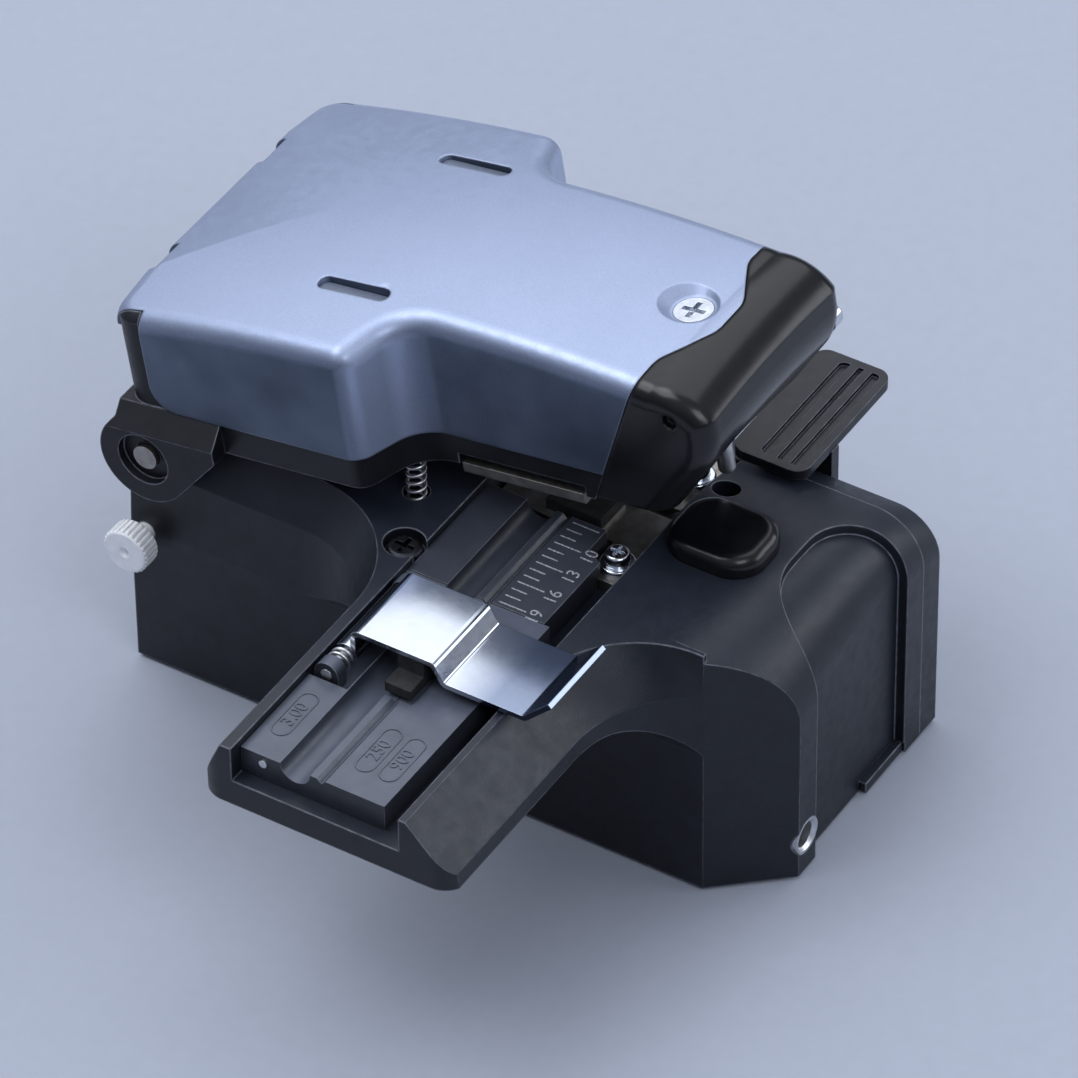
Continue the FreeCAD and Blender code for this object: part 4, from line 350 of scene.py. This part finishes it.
SLOT_FILL = cast_black("slot_grey", (0.085, 0.10, 0.14), (0.11, 0.13, 0.18),
                       rough=0.42, grain=0.006, edge_radius=0.1, dust_and_top_light=1.2, gloss=0.5)
INK = printed_ink("scale_ink", (0.42, 0.43, 0.46), (0.16, 0.165, 0.18))
PAINT = metallic_paint()
GLOSS = gloss_black()
RUBBER = rubber()
CHROME = bare_metal("chrome", (0.60, 0.635, 0.70), (0.68, 0.715, 0.78),
                    rough=0.09, scratch=1.6, depth=0.002)
KNURLED = bare_metal("turned_steel", (0.80, 0.81, 0.84), (0.90, 0.91, 0.93),
                     rough=0.36, scratch=6.0, depth=0.004, metallic=0.3)
# the clip is painted darker and bluer from Y -3.6 mm to -8 mm: painted shade standing for a dark
# reflection
CLIP = bare_metal("clip_chrome", (0.60, 0.635, 0.70), (0.64, 0.675, 0.74),
                  rough=0.13, scratch=1.6, depth=0.002, cloudy=0.03,
                  painted_shade=(("Y", 1.0, 0.0, -8.0, -3.6), (0.25, 0.29, 0.39)))
DARK_STEEL = bare_metal("dark_steel", (0.030, 0.032, 0.038), (0.055, 0.058, 0.066),
                        rough=0.34, scratch=5.0, depth=0.004)
STEEL = bare_metal("steel", (0.60, 0.61, 0.63), (0.76, 0.77, 0.79),
                   rough=0.28, scratch=5.0, depth=0.004)
CLAMP_STEEL = bare_metal("clamp_steel", (0.26, 0.245, 0.23), (0.40, 0.38, 0.36),
                         rough=0.34, scratch=4.0, depth=0.006, along=(0.15, 1.0, 1.0))
BRONZE = bare_metal("bronze", (0.42, 0.33, 0.20), (0.55, 0.45, 0.30),
                    rough=0.36, scratch=4.0, depth=0.006)
CARBIDE = bare_metal("carbide", (0.30, 0.30, 0.32), (0.42, 0.42, 0.45),
                     rough=0.22, scratch=8.0, depth=0.003)

FINISH = {
    "body_black": BODY, "cover_blue": PAINT, "frame_black": FRAME, "nose_gloss": GLOSS, "chrome": CHROME,
    "steel": STEEL, "bronze": BRONZE, "clamp_steel": CLAMP_STEEL, "rubber": RUBBER, "carbide": CARBIDE,
    "tab_black": TAB,
}
SPECIAL = {
    "fibre_holder_plate": PLATE, "ruler_plate": RULER, "rest_pad": GLOSS, "thumb_screw": KNURLED,
    "threaded_insert": STEEL, "hinge_pin": CLAMP_STEEL, "arm_screw": DARK_STEEL, "fibre_clip": CLIP,
}


def dress(node, material):
    """The CAD node's only material becomes this one."""
    slots = frame["nodes"][node].data.materials
    slots.clear()
    slots.append(material)


for part in frame["record"]["subparts"]:
    name = part["node"]
    dress(name, SPECIAL.get(name, FINISH[part["material_slot"]]))


# ================================================================ pieces that only the scene carries
def mesh_of(name, vertices, faces):
    """A new mesh from its vertices in metres and its faces."""
    mesh = bpy.data.meshes.new(name)
    mesh.from_pydata(vertices, [], faces)
    return mesh


def linked(name, data):
    """A new object, linked to the scene."""
    piece = bpy.data.objects.new(name, data)
    bpy.context.scene.collection.objects.link(piece)
    return piece


def plate_piece(name, mesh, material):
    """A piece that stands on the holder's plates and rides on the base."""
    piece = linked(name, mesh)
    mesh.materials.append(material)
    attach(piece, "base")


def lettering(name, words, x, y, size, proud, material):
    """Flat figures that read along +X and stand on the plates' tops."""
    curve = bpy.data.curves.new(name, "FONT")
    curve.body = words
    curve.align_x = "CENTER"
    curve.align_y = "CENTER"
    curve.size = size * MM
    curve.extrude = proud * MM / 2
    curve.resolution_u = 4
    maker = linked(name + "_maker", curve)
    bpy.context.view_layer.update()
    mesh = bpy.data.meshes.new_from_object(maker)
    bpy.data.objects.remove(maker)
    mesh.transform(Matrix.Translation((x * MM, y * MM, (PLATE_TOP + proud / 2) * MM)))
    plate_piece(name, mesh, material)


def stadium(x0, x1, y0, y1, inset, steps=8):
    """Points round a slot shape that lies inside the box by the inset, anticlockwise."""
    half = min(x1 - x0, y1 - y0) / 2
    radius = half - inset
    if x1 - x0 > y1 - y0:
        ends = ((x1 - half, (y0 + y1) / 2, -90), (x0 + half, (y0 + y1) / 2, 90))
    else:
        ends = (((x0 + x1) / 2, y1 - half, 0), ((x0 + x1) / 2, y0 + half, 180))
    points = []
    for cx, cy, start in ends:
        for step in range(steps + 1):
            turn = math.radians(start + 180 * step / steps)
            points.append((cx + radius * math.cos(turn), cy + radius * math.sin(turn)))
    return points


def banded(loops):
    """Vertices and faces of bands between loops of (points, height)."""
    vertices = [Vector((x * MM, y * MM, z * MM)) for points, z in loops for x, y in points]
    count = len(loops[0][0])
    faces = []
    for band in range(len(loops) - 1):
        for step in range(count):
            low = band * count
            after = (step + 1) % count
            faces.append((low + step, low + after, low + count + after, low + count + step))
    return vertices, faces


def label_ring(name, x, y):
    """Thin raised outline round a size label."""
    box = (x - LABEL_LONG / 2, x + LABEL_LONG / 2, y - LABEL_WIDE / 2, y + LABEL_WIDE / 2)
    rim = LABEL_LINE / 4
    profile = ((0, 0), (rim, LABEL_PROUD), (LABEL_LINE - rim, LABEL_PROUD), (LABEL_LINE, 0))
    loops = [(stadium(*box, inset), PLATE_TOP + rise) for inset, rise in profile]
    plate_piece(name, mesh_of(name, *banded(loops)), PLATE)


def ruler_ticks():
    """All the ruler's marks in one mesh."""
    vertices, faces = [], []
    for mark in RULER_TICKS:
        length = TICK_LONG if (mark - 1) % 3 == 0 else TICK_SHORT
        box = (-mark - TICK_W / 2, -mark + TICK_W / 2, TICK_Y - length, TICK_Y)
        loops = [(stadium(*box, 0, 4), PLATE_TOP), (stadium(*box, TICK_BEVEL, 4), PLATE_TOP + INK_PROUD)]
        points, bands = banded(loops)
        start = len(vertices)
        count = len(points) // 2
        vertices += points
        faces += [tuple(start + index for index in face) for face in bands]
        faces.append(tuple(start + count + index for index in range(count)))
    plate_piece("ruler_ticks", mesh_of("ruler_ticks", vertices, faces), INK)


def slot_floor(side):
    """Satin strip that shows through one of the roof's slots, inside the cover's thickness."""
    half = SLOT_WIDE / 2 - SLOT_PLAY
    middle = LID_MIDDLE + side * SLOT_OUT
    box = (middle - half, middle + half, SLOT_START + SLOT_PLAY, SLOT_END - SLOT_PLAY)
    profile = ((0, -SLOT_THICK), (0, -SLOT_BEVEL), (SLOT_BEVEL, 0))
    loops = [(stadium(*box, inset), SLOT_FLOOR + rise) for inset, rise in profile]
    points, faces = banded(loops)
    count = len(loops[0][0])
    faces += [tuple(reversed(range(count))), tuple(range(2 * count, 3 * count))]
    name = "slot_floor_left" if side < 0 else "slot_floor_right"
    mesh = mesh_of(name, points, faces)
    hinge = Vector((0, HINGE_Y, HINGE_Z)) * MM
    swing = Matrix.Rotation(-math.radians(LID_OPEN), 4, "X")
    mesh.transform(Matrix.Translation(hinge) @ swing @ Matrix.Translation(-hinge))
    mesh.materials.append(SLOT_FILL)
    piece = linked(name, mesh)
    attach(piece, "lid")


def clamp_coils():
    """The upper clamp's springs, copied from the CAD springs to ride on the lid in their place."""
    mesh = frame["nodes"]["clamp_springs"].data.copy()
    piece = linked("clamp_coils", mesh)
    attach(piece, "lid")
    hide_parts("clamp_springs")
    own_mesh(piece)


clamp_coils()
for side in (-1, 1):
    slot_floor(side)
ruler_ticks()
for number in RULER_NUMBERS:
    lettering(f"ruler_number_{number}", str(number), -number - NUMBER_BACK, NUMBER_Y, NUMBER_SIZE,
              INK_PROUD, INK)
for words, x, y in GRIP_LABELS:
    suffix = words.replace(".", "_")
    lettering("size_label_" + suffix, words, x, y, LABEL_SIZE, LABEL_PROUD, PLATE)
    label_ring("size_outline_" + suffix, x, y)


# ================================================================ floor, light, camera
def floor():
    """Plain pale floor."""
    half = FLOOR_SIZE / 2
    corners = [(-half, -half, 0), (half, -half, 0), (half, half, 0), (-half, half, 0)]
    mesh = mesh_of("floor", corners, [(0, 1, 2, 3)])
    piece = linked("floor", mesh)
    s = Shader("floor_pale", Specular_IOR_Level=0.2)
    darker = tuple(0.97 * c for c in FLOOR_COLOUR)
    base = s.mix(s.spread(s.noise(0.6, 4.0), 0.0, 1.0), FLOOR_COLOUR, darker)
    mesh.materials.append(s.feed(Base_Color=base, Roughness=s.spread(s.noise(1.5, 3.0), 0.7, 0.8)))


def lamp(name, place, aim_z, size, power, colour):
    """Rectangular soft light that looks at a point straight above the frame's origin."""
    data = bpy.data.lights.new(name, "AREA")
    data.shape = "RECTANGLE"
    data.size, data.size_y = size
    data.energy = power
    data.color = colour
    lamp_object = linked(name, data)
    lamp_object.location = place
    beam = Vector((0, 0, aim_z)) - Vector(place)
    lamp_object.rotation_euler = beam.to_track_quat("-Z", "Y").to_euler()


def world():
    """Soft room light, brighter overhead than round the horizon."""
    scene_world = bpy.data.worlds.new("studio")
    scene_world.use_nodes = True
    tree = scene_world.node_tree
    where = tree.nodes.new("ShaderNodeTexCoord")
    split = tree.nodes.new("ShaderNodeSeparateXYZ")
    ramp = tree.nodes.new("ShaderNodeValToRGB")
    tree.links.new(where.outputs["Generated"], split.inputs[0])
    tree.links.new(split.outputs["Z"], ramp.inputs["Fac"])
    for element, place, colour in zip(ramp.color_ramp.elements, SKY_STOPS, (SKY_LOW, SKY_HIGH)):
        element.position = place
        element.color = (*colour, 1.0)
    tree.links.new(ramp.outputs["Color"], tree.nodes["Background"].inputs["Color"])
    bpy.context.scene.world = scene_world


def camera():
    """Camera at the fitted angle, distance and lens."""
    run = math.cos(CAM_DROP)
    forward = Vector((math.sin(CAM_AZIMUTH) * run, math.cos(CAM_AZIMUTH) * run, -math.sin(CAM_DROP)))
    level = Vector((math.cos(CAM_AZIMUTH), -math.sin(CAM_AZIMUTH), 0))
    upright = level.cross(forward)
    right = math.cos(CAM_ROLL) * level + math.sin(CAM_ROLL) * upright
    up = right.cross(forward)
    place = CAM_AIM + CAM_SIDE * right + CAM_RISE * up - CAM_DISTANCE * forward
    data = bpy.data.cameras.new("camera")
    data.lens = CAM_LENS
    data.sensor_width = CAM_SENSOR
    data.clip_start, data.clip_end = CAM_CLIP
    view = linked("camera", data)
    view.matrix_world = Matrix.Translation(place) @ Matrix((right, up, -forward)).transposed().to_4x4()
    bpy.context.scene.camera = view


floor()
world()
for lamp_settings in LAMPS:
    lamp(*lamp_settings)
camera()
bpy.context.scene.view_settings.view_transform = "Standard"
